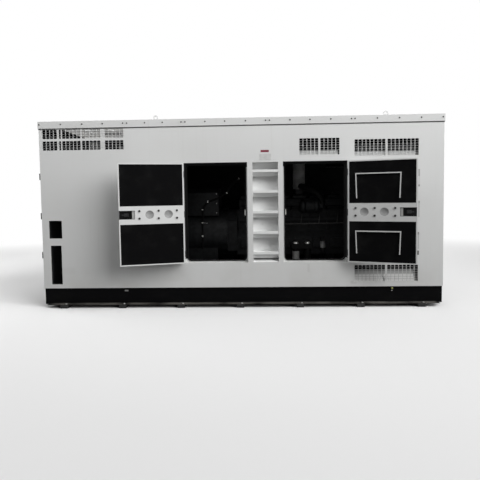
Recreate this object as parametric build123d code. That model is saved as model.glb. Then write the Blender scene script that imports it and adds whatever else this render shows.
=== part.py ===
from build123d import *
import math
import os

os.makedirs("parts", exist_ok=True)

# Sizes in millimetres. The long sides face -Y (front) and +Y (back), +Z is up,
# and the origin is under the middle bearer, on the ground.

# Canopy body and roof
canopy_length = 5264
canopy_width = 2000
wall_thick = 50
base_top = 265
roof_top = 2480
roof_sheet = 3
roof_overhang = 8
roof_flange_drop = 92
roof_seam_gap = 2
roof_seams = (-1485, -717, 384, 1483)

# Lifting eyes
eye_positions = (-1095, 1924)
eye_side_offset = 900
eye_half_width = 32
eye_height = 72
eye_corner = 22
eye_hole_rise = 40
eye_hole_radius = 17
eye_thick = 14
eye_foot_length = 90
eye_foot_width = 60
eye_foot_thick = 6

# Base frame and bearers
bearer_height = 46
bearer_width = 95
bearer_count = 7
bearer_end_distance = 277
channel_plate = 6
channel_inset = 25
channel_flange = 60
flange_end_gap = 47.5
tank_length = 3300
tank_depth = 150
tank_side_gap = 30
earth_end_distance = 647
earth_height = 238
earth_nut_radius = 14
earth_nut_thick = 12
earth_stud_radius = 7
earth_stud_length = 12

# Doorways in the front
rebate_width = 830
rebate_bottom = 592
rebate_top = 1908
left_hinge_x = -720
right_hinge_x = 1405
frame_face = 10
frame_flange_thick = 6
seal_width = 15
seal_thick = 7
seal_corner_radius = 50
flange_reveal = 15
keeper_thick = 8
keeper_reach = 36
keeper_height = 52
keeper_foot = 20
keeper_foot_thick = 4
keeper_foot_lap = 14
keeper_rim = 8

# Door leaves
leaf_gap = 8
leaf_depth = 50
leaf_sheet = 3
leaf_lip = 14
leaf_seal_clearance = 5
hinge_pin_outset = 14
left_open_angle = 165.7
right_open_angle = 162.6
lock_bar_above = 110
lock_bar_below = 121
lock_bar_centre_z = 1248
dish_radius = 53
dish_depth = 12
dish_pitch = 238
dish_count = 2
dish_to_lock = 183
closed_leaf_thick = 42

# Locks
lock_pocket_width = 195
lock_pocket_height = 110
lock_pocket_depth = 38
bezel_width = 130
bezel_height = 90
bezel_thick = 4
paddle_width = 90
paddle_height = 60
paddle_proud = 2
latch_side_gap = 75
latch_edge_gap = 60
latch_height = 50
latch_thick = 21

# Hoods on the right door's foam
hood_half_top = 272
hood_half_bottom = 261
hood_bar = 13
hood_depth = 14
hood_centre_shift = 46
upper_hood_gap = 62
upper_hood_height = 318
lower_hood_rise = 119
lower_hood_gap = 118

# Hinges
hinge_bottom_inset = 121
hinge_top_inset = 149
knuckle_radius = 9
knuckle_length = 38
knuckle_gap = 2
knuckle_sides = 8
pin_radius = 4
pin_clearance = 0.3
pin_proud = 4
strap_thick = 4
strap_reach = 62
strap_bend_outer = 30
strap_bend_inner = 18

# Step recess between the doorways
step_left_margin = 60
step_right_margin = 54
step_bottom_rise = 5
step_sill_rise = 32
step_head_gap = 3
step_depth = 120
step_count = 5
step_first_rise = 134
step_headroom = 96
nose_height = 33
nose_setback = 2
tread_slope_drop = 55
tread_slope_run = 50

# Punched grilles
grille_plate = 3
grille_bar = 3
grille_bar_clearance = 0.3
grille_bar_lap = 6
cell_pitch_x = 50
cell_pitch_z = 31
hole_width = 42
hole_height = 26
grille_border = 12
grille_rib = 20
upper_left_end_margin = 46
upper_left_top_gap = 106
upper_left_row_rib = 26
upper_left_ribs = (22, 11, 15, 42)
middle_grille_hinge_distance = 619
middle_grille_rise = 67
upper_right_margin = 78
upper_right_rise = 42
lower_right_margin = 78
lower_right_rise = 67
baffle_gap = 7
baffle_back_gap = 5
baffle_sheet = 4
baffle_foot = 20
baffle_slope_share = 0.6

# Cable windows at the left end of the front
upper_window_end_gap = 94
upper_window_width = 173
upper_window_rise = 670
upper_window_height = 237
lower_window_end_gap = 107
lower_window_width = 145
lower_window_rise = 53
lower_window_height = 521

# Door in the left end and outlet louvre in the right end
end_door_corner_gap = 80
louvre_half_width = 760
louvre_sill_rise = 255
louvre_head_drop = 300
louvre_frame = 30
louvre_count = 15
louvre_blade = 4
louvre_blade_rise = 30

# Rails and mounts under the machines
rail_height = 120
rail_offset = 320
rail_width = 100
mount_length = 120
mount_width = 60
rear_mount_distance = 160
front_mount_distance = 260

# Engine
shaft_height = 880
engine_x0 = -60
engine_length = 1620
sump_half_bottom = 150
sump_half_top = 210
sump_drop = 450
sump_end_gap = 120
crankcase_half_width = 350
crankcase_foot_drop = 280
shoulder_drop = 20
shoulder_rise = 60
block_half_width = 270
block_rise = 370
timing_case_length = 60
timing_case_half_width = 240
timing_case_corner = 60
cylinder_count = 6
head_pitch = 262
head_length = 236
head_half_width = 210
head_rise = 150
cover_inset = 20
cover_half_width = 150
cover_rise = 80
cover_chamfer = 25

# Exhaust manifold with its turbocharger
manifold_offset = 330
manifold_rise = 110
manifold_radius = 58
manifold_sides = 8
manifold_end_gap = 60
branch_size = 70
turbo_x = 940
turbo_length = 120
turbo_radius = 99
turbo_offset = 375
turbo_rise = 54

# Filters
air_filter_head = 3
air_filter_offset = 100
air_filter_radius = 90
air_filter_length = 480
air_filter_foot_width = 100
air_filter_foot_length = 74
filter_x = 794
filter_pitch = 171
filter_count = 2
filter_offset = 410
filter_radius = 49
filter_length = 200
filter_head_z = 690
filter_head_height = 77
filter_head_overlap = 54
small_filter_x = 1185
small_filter_radius = 36
small_filter_length = 160
small_filter_head_z = 800
small_filter_head_height = 40

# Flywheel housing and alternator
housing_length = 140
housing_half_width = 370
housing_corner = 150
alternator_radius = 400
alternator_length = 830
alternator_bell_radius = 330
alternator_bell_length = 120
alternator_foot_inset = 150
alternator_foot_width = 80
alternator_foot_drop = 100
terminal_box_half_width = 330
terminal_box_start = 100
terminal_box_length = 600
terminal_box_rise = 700
terminal_box_chamfer = 60
terminal_box_sink = 300

# Radiator, cowl and fan
radiator_x = 1850
radiator_thick = 140
radiator_width = 1400
radiator_height = 1450
radiator_frame = 60
core_recess = 20
cowl_depth = 110
cowl_flare = 95
cowl_sheet = 6
cowl_clearance = 25
fan_radius = 520
fan_setback = 110
fan_hub_radius = 90
fan_hub_length = 60
fan_shaft_radius = 35
blade_count = 8
blade_thick = 12
blade_width = 150
blade_pitch_angle = 25

# Values worked out from the sizes above
half_length = canopy_length / 2
half_width = canopy_width / 2
front_y = -half_width
wall_back_y = front_y + wall_thick
wall_top = roof_top - roof_sheet
pin_y = front_y - hinge_pin_outset
leaf_width = rebate_width - 2 * leaf_gap
leaf_bottom = rebate_bottom + leaf_gap
leaf_top = rebate_top - leaf_gap
seal_front_y = front_y + leaf_depth + leaf_seal_clearance
flange_front_y = seal_front_y + seal_thick
flange_back_y = flange_front_y + frame_flange_thick
seal_inner_inset = flange_reveal + seal_width
frame_bottom = rebate_bottom - frame_face
frame_top = rebate_top + frame_face
left_rebate_x0 = left_hinge_x
right_rebate_x0 = right_hinge_x - rebate_width
left_frame_x0 = left_rebate_x0 - frame_face
left_frame_x1 = left_rebate_x0 + rebate_width + frame_face
right_frame_x0 = right_rebate_x0 - frame_face
right_frame_x1 = right_hinge_x + frame_face
bar_bottom = lock_bar_centre_z - lock_bar_below
bar_top = lock_bar_centre_z + lock_bar_above
low_hinge_z = rebate_bottom + hinge_bottom_inset
high_hinge_z = rebate_top - hinge_top_inset
hinge_heights = (low_hinge_z, (low_hinge_z + high_hinge_z) / 2, high_hinge_z)
step_x0 = left_frame_x1 + step_left_margin
step_x1 = right_frame_x0 - step_right_margin
step_z0 = rebate_bottom + step_bottom_rise
step_z1 = rebate_top - step_head_gap
step_pitch = (step_z1 - step_z0 - step_first_rise - step_headroom) / (step_count - 1)
louvre_z0 = base_top + louvre_sill_rise
louvre_z1 = roof_top - louvre_head_drop
rail_z1 = base_top + rail_height
engine_x1 = engine_x0 + engine_length
crankcase_foot_z = shaft_height - crankcase_foot_drop
block_top = shaft_height + block_rise
head_top = block_top + head_rise
cover_top = head_top + cover_rise
first_head_x = engine_x0 + engine_length / 2 - (cylinder_count - 1) / 2 * head_pitch
fan_z = rail_z1 + radiator_height / 2


def slab(x0, x1, y0, y1, z0, z1):
    """A block between two opposite corners."""
    centre = Pos((x0 + x1) / 2, (y0 + y1) / 2, (z0 + z1) / 2)
    return centre * Box(abs(x1 - x0), abs(y1 - y0), abs(z1 - z0))


def front_plate(x0, x1, z0, z1, y0, y1, radius):
    """A plate facing -Y with rounded corners, from y0 to y1."""
    plane = Plane(origin=((x0 + x1) / 2, y1, (z0 + z1) / 2), x_dir=(1, 0, 0), z_dir=(0, -1, 0))
    return extrude(plane * RectangleRounded(x1 - x0, z1 - z0, radius), amount=y1 - y0)


def rod(start, direction, radius, length):
    """A round bar from a start point along a direction."""
    return extrude(Plane(origin=start, z_dir=direction) * Circle(radius), amount=length)


def folded_outline(points, thickness):
    """The outline of a sheet folded along points, thickened to the left of its path."""
    inner = []
    for i, (px, py) in enumerate(points):
        before = points[max(i - 1, 0)]
        after = points[min(i + 1, len(points) - 1)]
        angle_in = math.atan2(py - before[1], px - before[0]) if i else None
        angle_out = math.atan2(after[1] - py, after[0] - px) if i < len(points) - 1 else None
        angle_in = angle_out if angle_in is None else angle_in
        angle_out = angle_in if angle_out is None else angle_out
        middle = (angle_in + angle_out) / 2
        reach = thickness / math.cos((angle_out - angle_in) / 2)
        inner.append((px - reach * math.sin(middle), py + reach * math.cos(middle)))
    return make_face(Polyline(*points, *reversed(inner), close=True))


def symmetric_outline(half):
    """A closed outline from the points of its +Y half, listed from the bottom up."""
    return make_face(Polyline(*half, *[(-y, z) for y, z in reversed(half)], close=True))


def profile_along_x(face, x0, x1):
    """Extrudes a face, drawn with Y across and Z up, from x0 to x1."""
    plane = Plane(origin=(x0, 0, 0), x_dir=(0, 1, 0), z_dir=(1, 0, 0))
    return extrude(plane * face, amount=x1 - x0)


def group(*pieces):
    """Several pieces of one node that don't touch."""
    return Compound([solid for piece in pieces for solid in piece.solids()])


def save(name, shape):
    export_step(shape, f"parts/{name}.step")


def base_channel():
    """A folded side rail: top flange inward, web, bottom flange outward, drawn for the front."""
    web_y = front_y + channel_inset
    outline = [
        (web_y - channel_flange, bearer_height),
        (web_y + channel_plate, bearer_height),
        (web_y + channel_plate, base_top - channel_plate),
        (web_y + channel_flange, base_top - channel_plate),
        (web_y + channel_flange, base_top),
        (web_y, base_top),
        (web_y, bearer_height + channel_plate),
        (web_y - channel_flange, bearer_height + channel_plate),
    ]
    rail = profile_along_x(make_face(Polyline(*outline, close=True)), -half_length, half_length)
    for side in (-1, 1):
        rail -= slab(side * half_length, side * (half_length - flange_end_gap),
                     web_y - channel_flange, web_y, 0, base_top)
    return rail


def base_end_channels():
    """Channels that close the two ends of the base between the side rails."""
    inner_y = half_width - channel_inset - channel_plate
    pieces = []
    for side in (-1, 1):
        outer = side * half_length
        web = slab(outer, outer - side * channel_plate, -inner_y, inner_y,
                   bearer_height, base_top - channel_plate)
        lip = slab(outer, outer - side * channel_flange, -inner_y, inner_y,
                   bearer_height, bearer_height + channel_plate)
        pieces.append(web + lip)
    return group(*pieces)


def cross_bearers():
    """Flat bearers under the frame, from side to side."""
    reach = half_width - channel_inset + channel_flange
    first = -half_length + bearer_end_distance
    pitch = (canopy_length - 2 * bearer_end_distance) / (bearer_count - 1)
    centres = [first + i * pitch for i in range(bearer_count)]
    return group(*[slab(x - bearer_width / 2, x + bearer_width / 2, -reach, reach, 0, bearer_height)
                   for x in centres])


def base_deck():
    """The floor plate between the side rails."""
    side = half_width - channel_inset - channel_flange
    return slab(-half_length + channel_plate, half_length - channel_plate, -side, side,
                base_top - channel_plate, base_top)


def fuel_tank():
    """The fuel tank under the floor plate."""
    side = half_width - channel_inset - channel_flange - tank_side_gap
    top = base_top - channel_plate
    return slab(-tank_length / 2, tank_length / 2, -side, side, top - tank_depth, top)


def earth_terminal():
    """The earthing nut and stud on the right of the base rail."""
    face = Plane(origin=(half_length - earth_end_distance, front_y + channel_inset, earth_height),
                 x_dir=(1, 0, 0), z_dir=(0, -1, 0))
    nut = extrude(face * RegularPolygon(earth_nut_radius, 6), amount=earth_nut_thick)
    tip = face.offset(earth_nut_thick)
    stud = extrude(tip * RegularPolygon(earth_stud_radius, 6), amount=earth_stud_length)
    return nut + stud


def cell_starts(groups, ribs, pitch):
    """Where the cells of each group start along one side, with a rib between groups, and the full length."""
    starts = []
    edge = 0
    for count, rib in zip(groups, (*ribs, 0)):
        starts.append([edge + i * pitch for i in range(count)])
        edge += count * pitch + rib
    return starts, edge


class Grille:
    """A slotted plate with level bars behind, flush in a wall, placed by the corner of its field of holes."""

    def __init__(self, x0, z0, column_groups, column_ribs, row_groups, row_ribs):
        self.column_groups, width = cell_starts(column_groups, column_ribs, cell_pitch_x)
        self.row_groups, height = cell_starts(row_groups, row_ribs, cell_pitch_z)
        self.field = (x0, x0 + width, z0, z0 + height)
        self.x0 = x0 - grille_border
        self.x1 = x0 + width + grille_border
        self.z0 = z0 - grille_border
        self.z1 = z0 + height + grille_border

    def block(self, y0, y1):
        return slab(self.x0, self.x1, y0, y1, self.z0, self.z1)

    def slots(self, whole_groups, y0, y1):
        """Slots from the bottom to the top of the field, one to a column or one to a group of columns."""
        x0, _, z0, z1 = self.field
        bar = (cell_pitch_x - hole_width) / 2
        spans = [(g[0], g[-1]) for g in self.column_groups]
        if not whole_groups:
            spans = [(start, start) for g in self.column_groups for start in g]
        return [slab(x0 + first + bar, x0 + last + cell_pitch_x - bar, y0, y1, z0, z1)
                for first, last in spans]

    def level_bars(self, y0, y1):
        """Flat bars behind the plate, one between each row of holes and the next."""
        x0, x1, z0, _ = self.field
        half = (cell_pitch_z - hole_height) / 2
        starts = [start for g in self.row_groups for start in g]
        return [slab(x0 - grille_bar_lap, x1 + grille_bar_lap, y0, y1,
                     z0 + below + cell_pitch_z - half, z0 + above + half)
                for below, above in zip(starts, starts[1:])]

    def assembly(self, whole_groups=False):
        """The slotted plate with its level bars close behind."""
        y1 = front_y + grille_plate
        y2 = y1 + grille_bar_clearance
        plate = self.block(front_y, y1) - self.slots(whole_groups, front_y - 1, y1 + 1)
        return group(plate, *self.level_bars(y2, y2 + grille_bar))

    def baffle(self):
        """A sloped plate behind the holes that keeps rain out."""
        y0 = front_y + grille_plate + grille_bar + baffle_gap
        y1 = wall_back_y - baffle_back_gap
        knee_z = self.z0 + baffle_foot
        rise = (self.z1 - self.z0) * baffle_slope_share
        face = folded_outline([(y0, self.z0), (y0, knee_z), (y1, knee_z + rise)], -baffle_sheet)
        return profile_along_x(face, self.x0, self.x1)


upper_left = Grille(
    -half_length + upper_left_end_margin,
    roof_top - upper_left_top_gap - 2 * 4 * cell_pitch_z - upper_left_row_rib,
    (4, 1, 5, 5, 5), upper_left_ribs, (4, 4), (upper_left_row_rib,))
upper_middle = Grille(
    right_hinge_x - middle_grille_hinge_distance,
    frame_top + middle_grille_rise,
    (5, 5), (grille_rib,), (7,), ())
upper_right = Grille(
    right_frame_x1 + upper_right_margin,
    frame_top + upper_right_rise,
    (8, 8), (grille_rib,), (7,), ())
lower_right = Grille(
    right_frame_x1 + lower_right_margin,
    base_top + lower_right_rise,
    (8, 8), (grille_rib,), (7,), ())
front_grilles = (upper_left, upper_middle, upper_right, lower_right)
back_side_grilles = (upper_left, upper_right, lower_right)


def through_wall(grille):
    return grille.block(front_y - 1, wall_back_y + 1)


def cable_window(end_gap, width, rise, height):
    """A cut through the front wall, measured from the end and the base."""
    x0 = -half_length + end_gap
    z0 = base_top + rise
    return slab(x0, x0 + width, front_y - 1, wall_back_y + 1, z0, z0 + height)


def front_wall_left():
    wall = slab(-half_length, left_frame_x0, front_y, wall_back_y, base_top, wall_top)
    wall -= through_wall(upper_left)
    wall -= cable_window(upper_window_end_gap, upper_window_width, upper_window_rise, upper_window_height)
    wall -= cable_window(lower_window_end_gap, lower_window_width, lower_window_rise, lower_window_height)
    return wall


def front_wall_header():
    wall = slab(left_frame_x0, right_frame_x1, front_y, wall_back_y, frame_top, wall_top)
    return wall - through_wall(upper_middle)


def front_wall_sill():
    return slab(left_frame_x0, right_frame_x1, front_y, wall_back_y, base_top, frame_bottom)


def front_wall_right():
    wall = slab(right_frame_x1, half_length, front_y, wall_back_y, base_top, wall_top)
    return wall - through_wall(upper_right) - through_wall(lower_right)


def door_frame(x0):
    """The rebated frame of a doorway, with the flange that carries the seal; x0 is the rebate's left."""
    x1 = x0 + rebate_width
    ring = slab(x0 - frame_face, x1 + frame_face, front_y, flange_back_y, frame_bottom, frame_top)
    ring -= slab(x0, x1, front_y - 1, flange_front_y, rebate_bottom, rebate_top)
    inset = seal_inner_inset
    ring -= front_plate(x0 + inset, x1 - inset, rebate_bottom + inset, rebate_top - inset,
                        front_y, flange_back_y + 1, seal_corner_radius - seal_width)
    return ring


def door_seal(x0):
    """The rubber seal on the flange of one doorway."""
    x1 = x0 + rebate_width
    outer = front_plate(x0 + flange_reveal, x1 - flange_reveal, rebate_bottom + flange_reveal,
                        rebate_top - flange_reveal, seal_front_y, flange_front_y, seal_corner_radius)
    inset = seal_inner_inset
    inner = front_plate(x0 + inset, x1 - inset, rebate_bottom + inset, rebate_top - inset,
                        seal_front_y - 1, flange_front_y + 1, seal_corner_radius - seal_width)
    return outer - inner


def latch_keeper(x, side):
    """A looped striker behind the frame flange, from its inner edge x; side is the way into the opening."""
    half = keeper_height / 2
    z0 = lock_bar_centre_z - half
    z1 = lock_bar_centre_z + half
    tip_y = flange_back_y - keeper_reach
    foot_y = flange_back_y + keeper_foot_thick
    inner = x + side * keeper_thick
    foot = slab(x - side * keeper_foot, inner, flange_back_y, foot_y,
                z0 - keeper_foot_lap, z1 + keeper_foot_lap)
    loop = slab(x, inner, tip_y, foot_y, z0, z1)
    eye = slab(x - side, inner + side, tip_y + keeper_rim, flange_back_y - keeper_rim,
               z0 + keeper_rim, z1 - keeper_rim)
    return foot + (loop - eye)


def knuckle(z0, z1):
    """A hinge knuckle about the line at x = 0, y = 0."""
    ring = RegularPolygon(knuckle_radius, knuckle_sides, major_radius=False)
    return extrude(Plane.XY.offset(z0) * ring, amount=z1 - z0)


def strap(direction, z0, z1):
    """The folded strap of a hinge half, from the knuckle to the sheet; direction is -1 or 1 along X."""
    seat = hinge_pin_outset
    points = [(direction * strap_reach, seat), (direction * strap_bend_outer, seat),
              (direction * strap_bend_inner, strap_thick / 2), (0, strap_thick / 2)]
    return extrude(Plane.XY.offset(z0) * folded_outline(points, direction * strap_thick), amount=z1 - z0)


def fixed_hinge(z):
    """The wall half of a hinge with its pin, wall to -X."""
    z1 = z - knuckle_gap / 2
    z0 = z1 - knuckle_length
    pin = rod((0, 0, z1), (0, 0, 1), pin_radius, knuckle_length + knuckle_gap + pin_proud)
    return knuckle(z0, z1) + strap(-1, z0, z1) + pin


def moving_hinge(z):
    """The leaf half of a hinge with its bore, leaf to +X."""
    z0 = z + knuckle_gap / 2
    z1 = z0 + knuckle_length
    bore = rod((0, 0, z0 - 1), (0, 0, 1), pin_radius + pin_clearance, knuckle_length + 2)
    return knuckle(z0, z1) + strap(1, z0, z1) - bore


class Leaf:
    """A door leaf about its hinge line at x = 0, y = 0; shut, it reaches to +X and faces -Y."""

    def __init__(self):
        self.x0 = leaf_gap
        self.x1 = leaf_gap + leaf_width
        self.y0 = hinge_pin_outset
        self.y1 = hinge_pin_outset + leaf_depth
        self.pocket_x0 = self.x1 - lock_pocket_width
        self.pocket_y = self.y1 - lock_pocket_depth
        self.lock_x = self.x1 - lock_pocket_width / 2

    def pocket(self, x0, x1, inset, y0, y1):
        """The block of the lock pocket between x0 and x1, smaller by inset above and below."""
        half = lock_pocket_height / 2 - inset
        return slab(x0, x1, y0, y1, lock_bar_centre_z - half, lock_bar_centre_z + half)

    def paddle(self, y0, y1):
        return slab(self.lock_x - paddle_width / 2, self.lock_x + paddle_width / 2, y0, y1,
                    lock_bar_centre_z - paddle_height / 2, lock_bar_centre_z + paddle_height / 2)

    def pan(self):
        """The folded outer sheet with its edges turned in and lipped."""
        t = leaf_sheet
        body = slab(self.x0, self.x1, self.y0, self.y1, leaf_bottom, leaf_top)
        body -= slab(self.x0 + t, self.x1 - t, self.y0 + t, self.y1 - t, leaf_bottom + t, leaf_top - t)
        body -= slab(self.x0 + leaf_lip, self.x1 - leaf_lip, self.y1 - 2 * t, self.y1 + 1,
                     leaf_bottom + leaf_lip, leaf_top - leaf_lip)
        body -= self.pocket(self.x1 - leaf_lip - 1, self.x1 + 1, 0, self.pocket_y, self.y1 + 1)
        return body - self.paddle(self.y0 - 1, self.y0 + t + 1)

    def foam(self):
        """Sound-absorbing slabs above and below the lock bar."""
        t = leaf_sheet
        heights = ((leaf_bottom + t, bar_bottom), (bar_top, leaf_top - t))
        return group(*[slab(self.x0 + t, self.x1 - t, self.y0 + t, self.y1 - t, z0, z1)
                       for z0, z1 in heights])

    def lock_bar(self):
        """The pressed rail across the leaf, with its round dishes and the lock notch."""
        t = leaf_sheet
        x0 = self.x0 + leaf_lip
        x1 = self.x1 - leaf_lip
        rail = slab(x0, x1, self.y0 + t, self.y1, bar_bottom, bar_top)
        rail -= slab(x0 - 1, x1 + 1, self.y0 + t - 1, self.y1 - t, bar_bottom + t, bar_top - t)
        rail -= self.pocket(self.pocket_x0, x1 + 1, 0, self.pocket_y, self.y1 + 1)
        for i in range(dish_count):
            cx = self.pocket_x0 - dish_to_lock - i * dish_pitch
            rail += rod((cx, self.y1, lock_bar_centre_z), (0, -1, 0), dish_radius + t, dish_depth + t)
            rail -= rod((cx, self.y1 + 1, lock_bar_centre_z), (0, -1, 0), dish_radius, dish_depth + 1)
        return rail

    def lock(self):
        """The latch in its pocket at the free edge, with the paddle handle outside."""
        t = leaf_sheet
        tray = self.pocket(self.pocket_x0, self.x1 - t, 0, self.pocket_y, self.y1 - t)
        tray -= self.pocket(self.pocket_x0 + t, self.x1 + 1, t, self.pocket_y + t, self.y1)
        latch = slab(self.pocket_x0 + latch_side_gap, self.x1 - latch_edge_gap, self.pocket_y + t,
                     self.pocket_y + t + latch_thick, lock_bar_centre_z - latch_height / 2,
                     lock_bar_centre_z + latch_height / 2)
        paddle = self.paddle(self.y0 - paddle_proud, self.pocket_y)
        bezel = slab(self.lock_x - bezel_width / 2, self.lock_x + bezel_width / 2,
                     self.y0 - bezel_thick, self.y0,
                     lock_bar_centre_z - bezel_height / 2, lock_bar_centre_z + bezel_height / 2)
        return tray + latch + paddle + bezel

    def hinges(self):
        return group(*[moving_hinge(z) for z in hinge_heights])

    def hood(self, z0, z1):
        """A hood on the foam: a top bar and two legs that draw in towards the bottom."""
        middle = (self.x0 + self.x1) / 2 - hood_centre_shift
        right = [(hood_half_top, z1), (hood_half_bottom, z0), (hood_half_bottom - hood_bar, z0),
                 (hood_half_top - hood_bar, z1 - hood_bar)]
        outline = make_face(Polyline(*right, *[(-x, z) for x, z in reversed(right)], close=True))
        plane = Plane(origin=(middle, self.y1 - leaf_sheet, 0), x_dir=(-1, 0, 0), z_dir=(0, 1, 0))
        return extrude(plane * outline, amount=hood_depth)

    def hoods(self):
        upper_z0 = bar_top + upper_hood_gap
        return group(self.hood(upper_z0, upper_z0 + upper_hood_height),
                     self.hood(leaf_bottom + lower_hood_rise, bar_bottom - lower_hood_gap))


def swing_left(shape):
    """Places a leaf piece at the left doorway, swung open."""
    return Pos(left_hinge_x, pin_y, 0) * Rot(0, 0, -left_open_angle) * shape


def swing_right(shape):
    """Places a mirrored leaf piece at the right doorway, swung open."""
    return Pos(right_hinge_x, pin_y, 0) * Rot(0, 0, right_open_angle) * mirror(shape, about=Plane.YZ)


def fixed_hinges():
    """The wall halves of both front doors' hinges."""
    left = [Pos(left_hinge_x, pin_y, 0) * fixed_hinge(z) for z in hinge_heights]
    right = [Pos(right_hinge_x, pin_y, 0) * mirror(fixed_hinge(z), about=Plane.YZ) for z in hinge_heights]
    return group(*left, *right)


def step_recess():
    """The pier panel between the doorways with a deep pan let into it, its sill falling to the front."""
    t = leaf_sheet
    y1 = front_y + step_depth
    fall = make_face(Polyline((front_y, step_z0), (y1, step_z0), (y1, step_z0 + step_sill_rise), close=True))
    panel = slab(left_frame_x1, right_frame_x0, front_y, front_y + t, frame_bottom, frame_top)
    pan = slab(step_x0 - t, step_x1 + t, front_y, y1 + t, step_z0 - t, step_z1 + t)
    pan = panel + pan - slab(step_x0, step_x1, front_y - 1, y1, step_z0, step_z1)
    return pan + profile_along_x(fall, step_x0, step_x1)


def step_treads():
    """Folded treads with a front nose and a sloped return under it."""
    treads = []
    y_nose = front_y + nose_setback
    for i in range(step_count):
        z = step_z0 + step_first_rise + i * step_pitch
        points = [(front_y + step_depth, z), (y_nose, z), (y_nose, z - nose_height),
                  (y_nose + tread_slope_run, z - nose_height - tread_slope_drop)]
        treads.append(profile_along_x(folded_outline(points, leaf_sheet), step_x0, step_x1))
    return group(*treads)


def closed_door():
    """A shut door facing -Y with its hinge line at x = 0, its latch and its hinges outside."""
    free_edge = rebate_width - leaf_gap
    door = slab(leaf_gap, free_edge, 0, closed_leaf_thick, leaf_bottom, leaf_top)
    lock_x = free_edge - lock_pocket_width / 2
    door += slab(lock_x - bezel_width / 2, lock_x + bezel_width / 2, -bezel_thick, 0,
                 lock_bar_centre_z - bezel_height / 2, lock_bar_centre_z + bezel_height / 2)
    for z in hinge_heights:
        z0 = z - knuckle_length
        z1 = z + knuckle_length
        door += slab(-strap_reach, strap_reach, -strap_thick, 0, z0, z1)
        door += slab(-knuckle_radius, knuckle_radius, -2 * knuckle_radius, 0, z0, z1)
    return door


def rebate_pocket(overshoot):
    """The pocket that a shut door fills, with its hinge line at x = 0."""
    return slab(0, rebate_width, -overshoot, closed_leaf_thick, rebate_bottom, rebate_top)


def place_back(shape):
    """Puts a shut door's shape in both doorways of the back, mirrored from the front."""
    left = Pos(left_hinge_x, front_y, 0) * shape
    right = Pos(right_hinge_x, front_y, 0) * mirror(shape, about=Plane.YZ)
    return mirror(group(left, right), about=Plane.XZ)


def place_left_end(shape):
    """Puts a shut door's shape in the left end, hinged near the front corner."""
    corner = Pos(-half_length, front_y + end_door_corner_gap, 0)
    return corner * Rot(0, 0, -90) * mirror(shape, about=Plane.YZ)


def back_wall():
    wall = slab(-half_length, half_length, half_width - wall_thick, half_width, base_top, wall_top)
    wall -= place_back(rebate_pocket(1)).solids()
    for grille in back_side_grilles:
        wall -= grille.block(half_width - wall_thick - 1, half_width + 1)
    return wall


def back_grilles():
    """The grilles of the back, in the same places as on the front, with one slot to a group of columns."""
    grilles = [grille.assembly(whole_groups=True) for grille in back_side_grilles]
    return mirror(group(*grilles), about=Plane.XZ)


def left_end_wall():
    side = half_width - wall_thick
    wall = slab(-half_length, -half_length + wall_thick, -side, side, base_top, wall_top)
    return wall - place_left_end(rebate_pocket(1))


def right_end_wall():
    side = half_width - wall_thick
    wall = slab(half_length - wall_thick, half_length, -side, side, base_top, wall_top)
    return wall - slab(half_length - wall_thick - 1, half_length + 1, -louvre_half_width, louvre_half_width,
                       louvre_z0, louvre_z1)


def right_end_louvre():
    """The air outlet in the right end: a frame with sloped blades."""
    x0 = half_length - wall_thick
    x1 = half_length
    inner_half = louvre_half_width - louvre_frame
    inner_z0 = louvre_z0 + louvre_frame
    inner_z1 = louvre_z1 - louvre_frame
    louvre = slab(x0, x1, -louvre_half_width, louvre_half_width, louvre_z0, louvre_z1)
    louvre -= slab(x0 - 1, x1 + 1, -inner_half, inner_half, inner_z0, inner_z1)
    pitch = (inner_z1 - inner_z0) / louvre_count
    side = Plane(origin=(0, inner_half + 1, 0), x_dir=(1, 0, 0), z_dir=(0, -1, 0))
    for i in range(louvre_count):
        z = inner_z0 + (i + 0.5) * pitch
        points = [(x0 + louvre_blade, z + louvre_blade_rise), (x1 - louvre_blade, z - louvre_blade_rise)]
        louvre += extrude(side * folded_outline(points, louvre_blade), amount=2 * inner_half + 2)
    return louvre


def roof_panels():
    """Pans side by side, with their edges turned down over the walls."""
    t = roof_sheet
    half_x = half_length + roof_overhang
    half_y = half_width + roof_overhang
    edges = (-half_x, *roof_seams, half_x)
    z0 = roof_top - roof_flange_drop
    pans = []
    for x0, x1 in zip(edges, edges[1:]):
        x0 += roof_seam_gap / 2 if x0 > -half_x else 0
        x1 -= roof_seam_gap / 2 if x1 < half_x else 0
        pan = slab(x0, x1, -half_y, half_y, z0, roof_top)
        inner_x0 = x0 + t if x0 == -half_x else x0 - 1
        inner_x1 = x1 - t if x1 == half_x else x1 + 1
        pans.append(pan - slab(inner_x0, inner_x1, -half_y + t, half_y - t, z0 - 1, wall_top))
    return group(*pans)


def lifting_eyes():
    """Four welded eyes with chamfered shoulders, each on its foot plate."""
    plate = Pos(0, eye_height / 2) * Rectangle(2 * eye_half_width, eye_height)
    plate = chamfer(plate.vertices().group_by(Axis.Y)[-1], eye_corner)
    plate -= Pos(0, eye_hole_rise) * Circle(eye_hole_radius)
    eyes = []
    for x in eye_positions:
        for y in (-eye_side_offset, eye_side_offset):
            face = Plane(origin=(x, y + eye_thick / 2, roof_top), x_dir=(1, 0, 0), z_dir=(0, -1, 0))
            foot = slab(x - eye_foot_length / 2, x + eye_foot_length / 2, y - eye_foot_width / 2,
                        y + eye_foot_width / 2, roof_top, roof_top + eye_foot_thick)
            eyes.append(extrude(face * plate, amount=eye_thick) + foot)
    return group(*eyes)


def engine_rails():
    """Two long rails on the floor that carry the machines."""
    x0 = engine_x0 - housing_length - alternator_length - alternator_bell_length
    x1 = radiator_x + radiator_thick
    return group(*[slab(x0, x1, y - rail_width / 2, y + rail_width / 2, base_top, rail_z1)
                   for y in (-rail_offset, rail_offset)])


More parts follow.
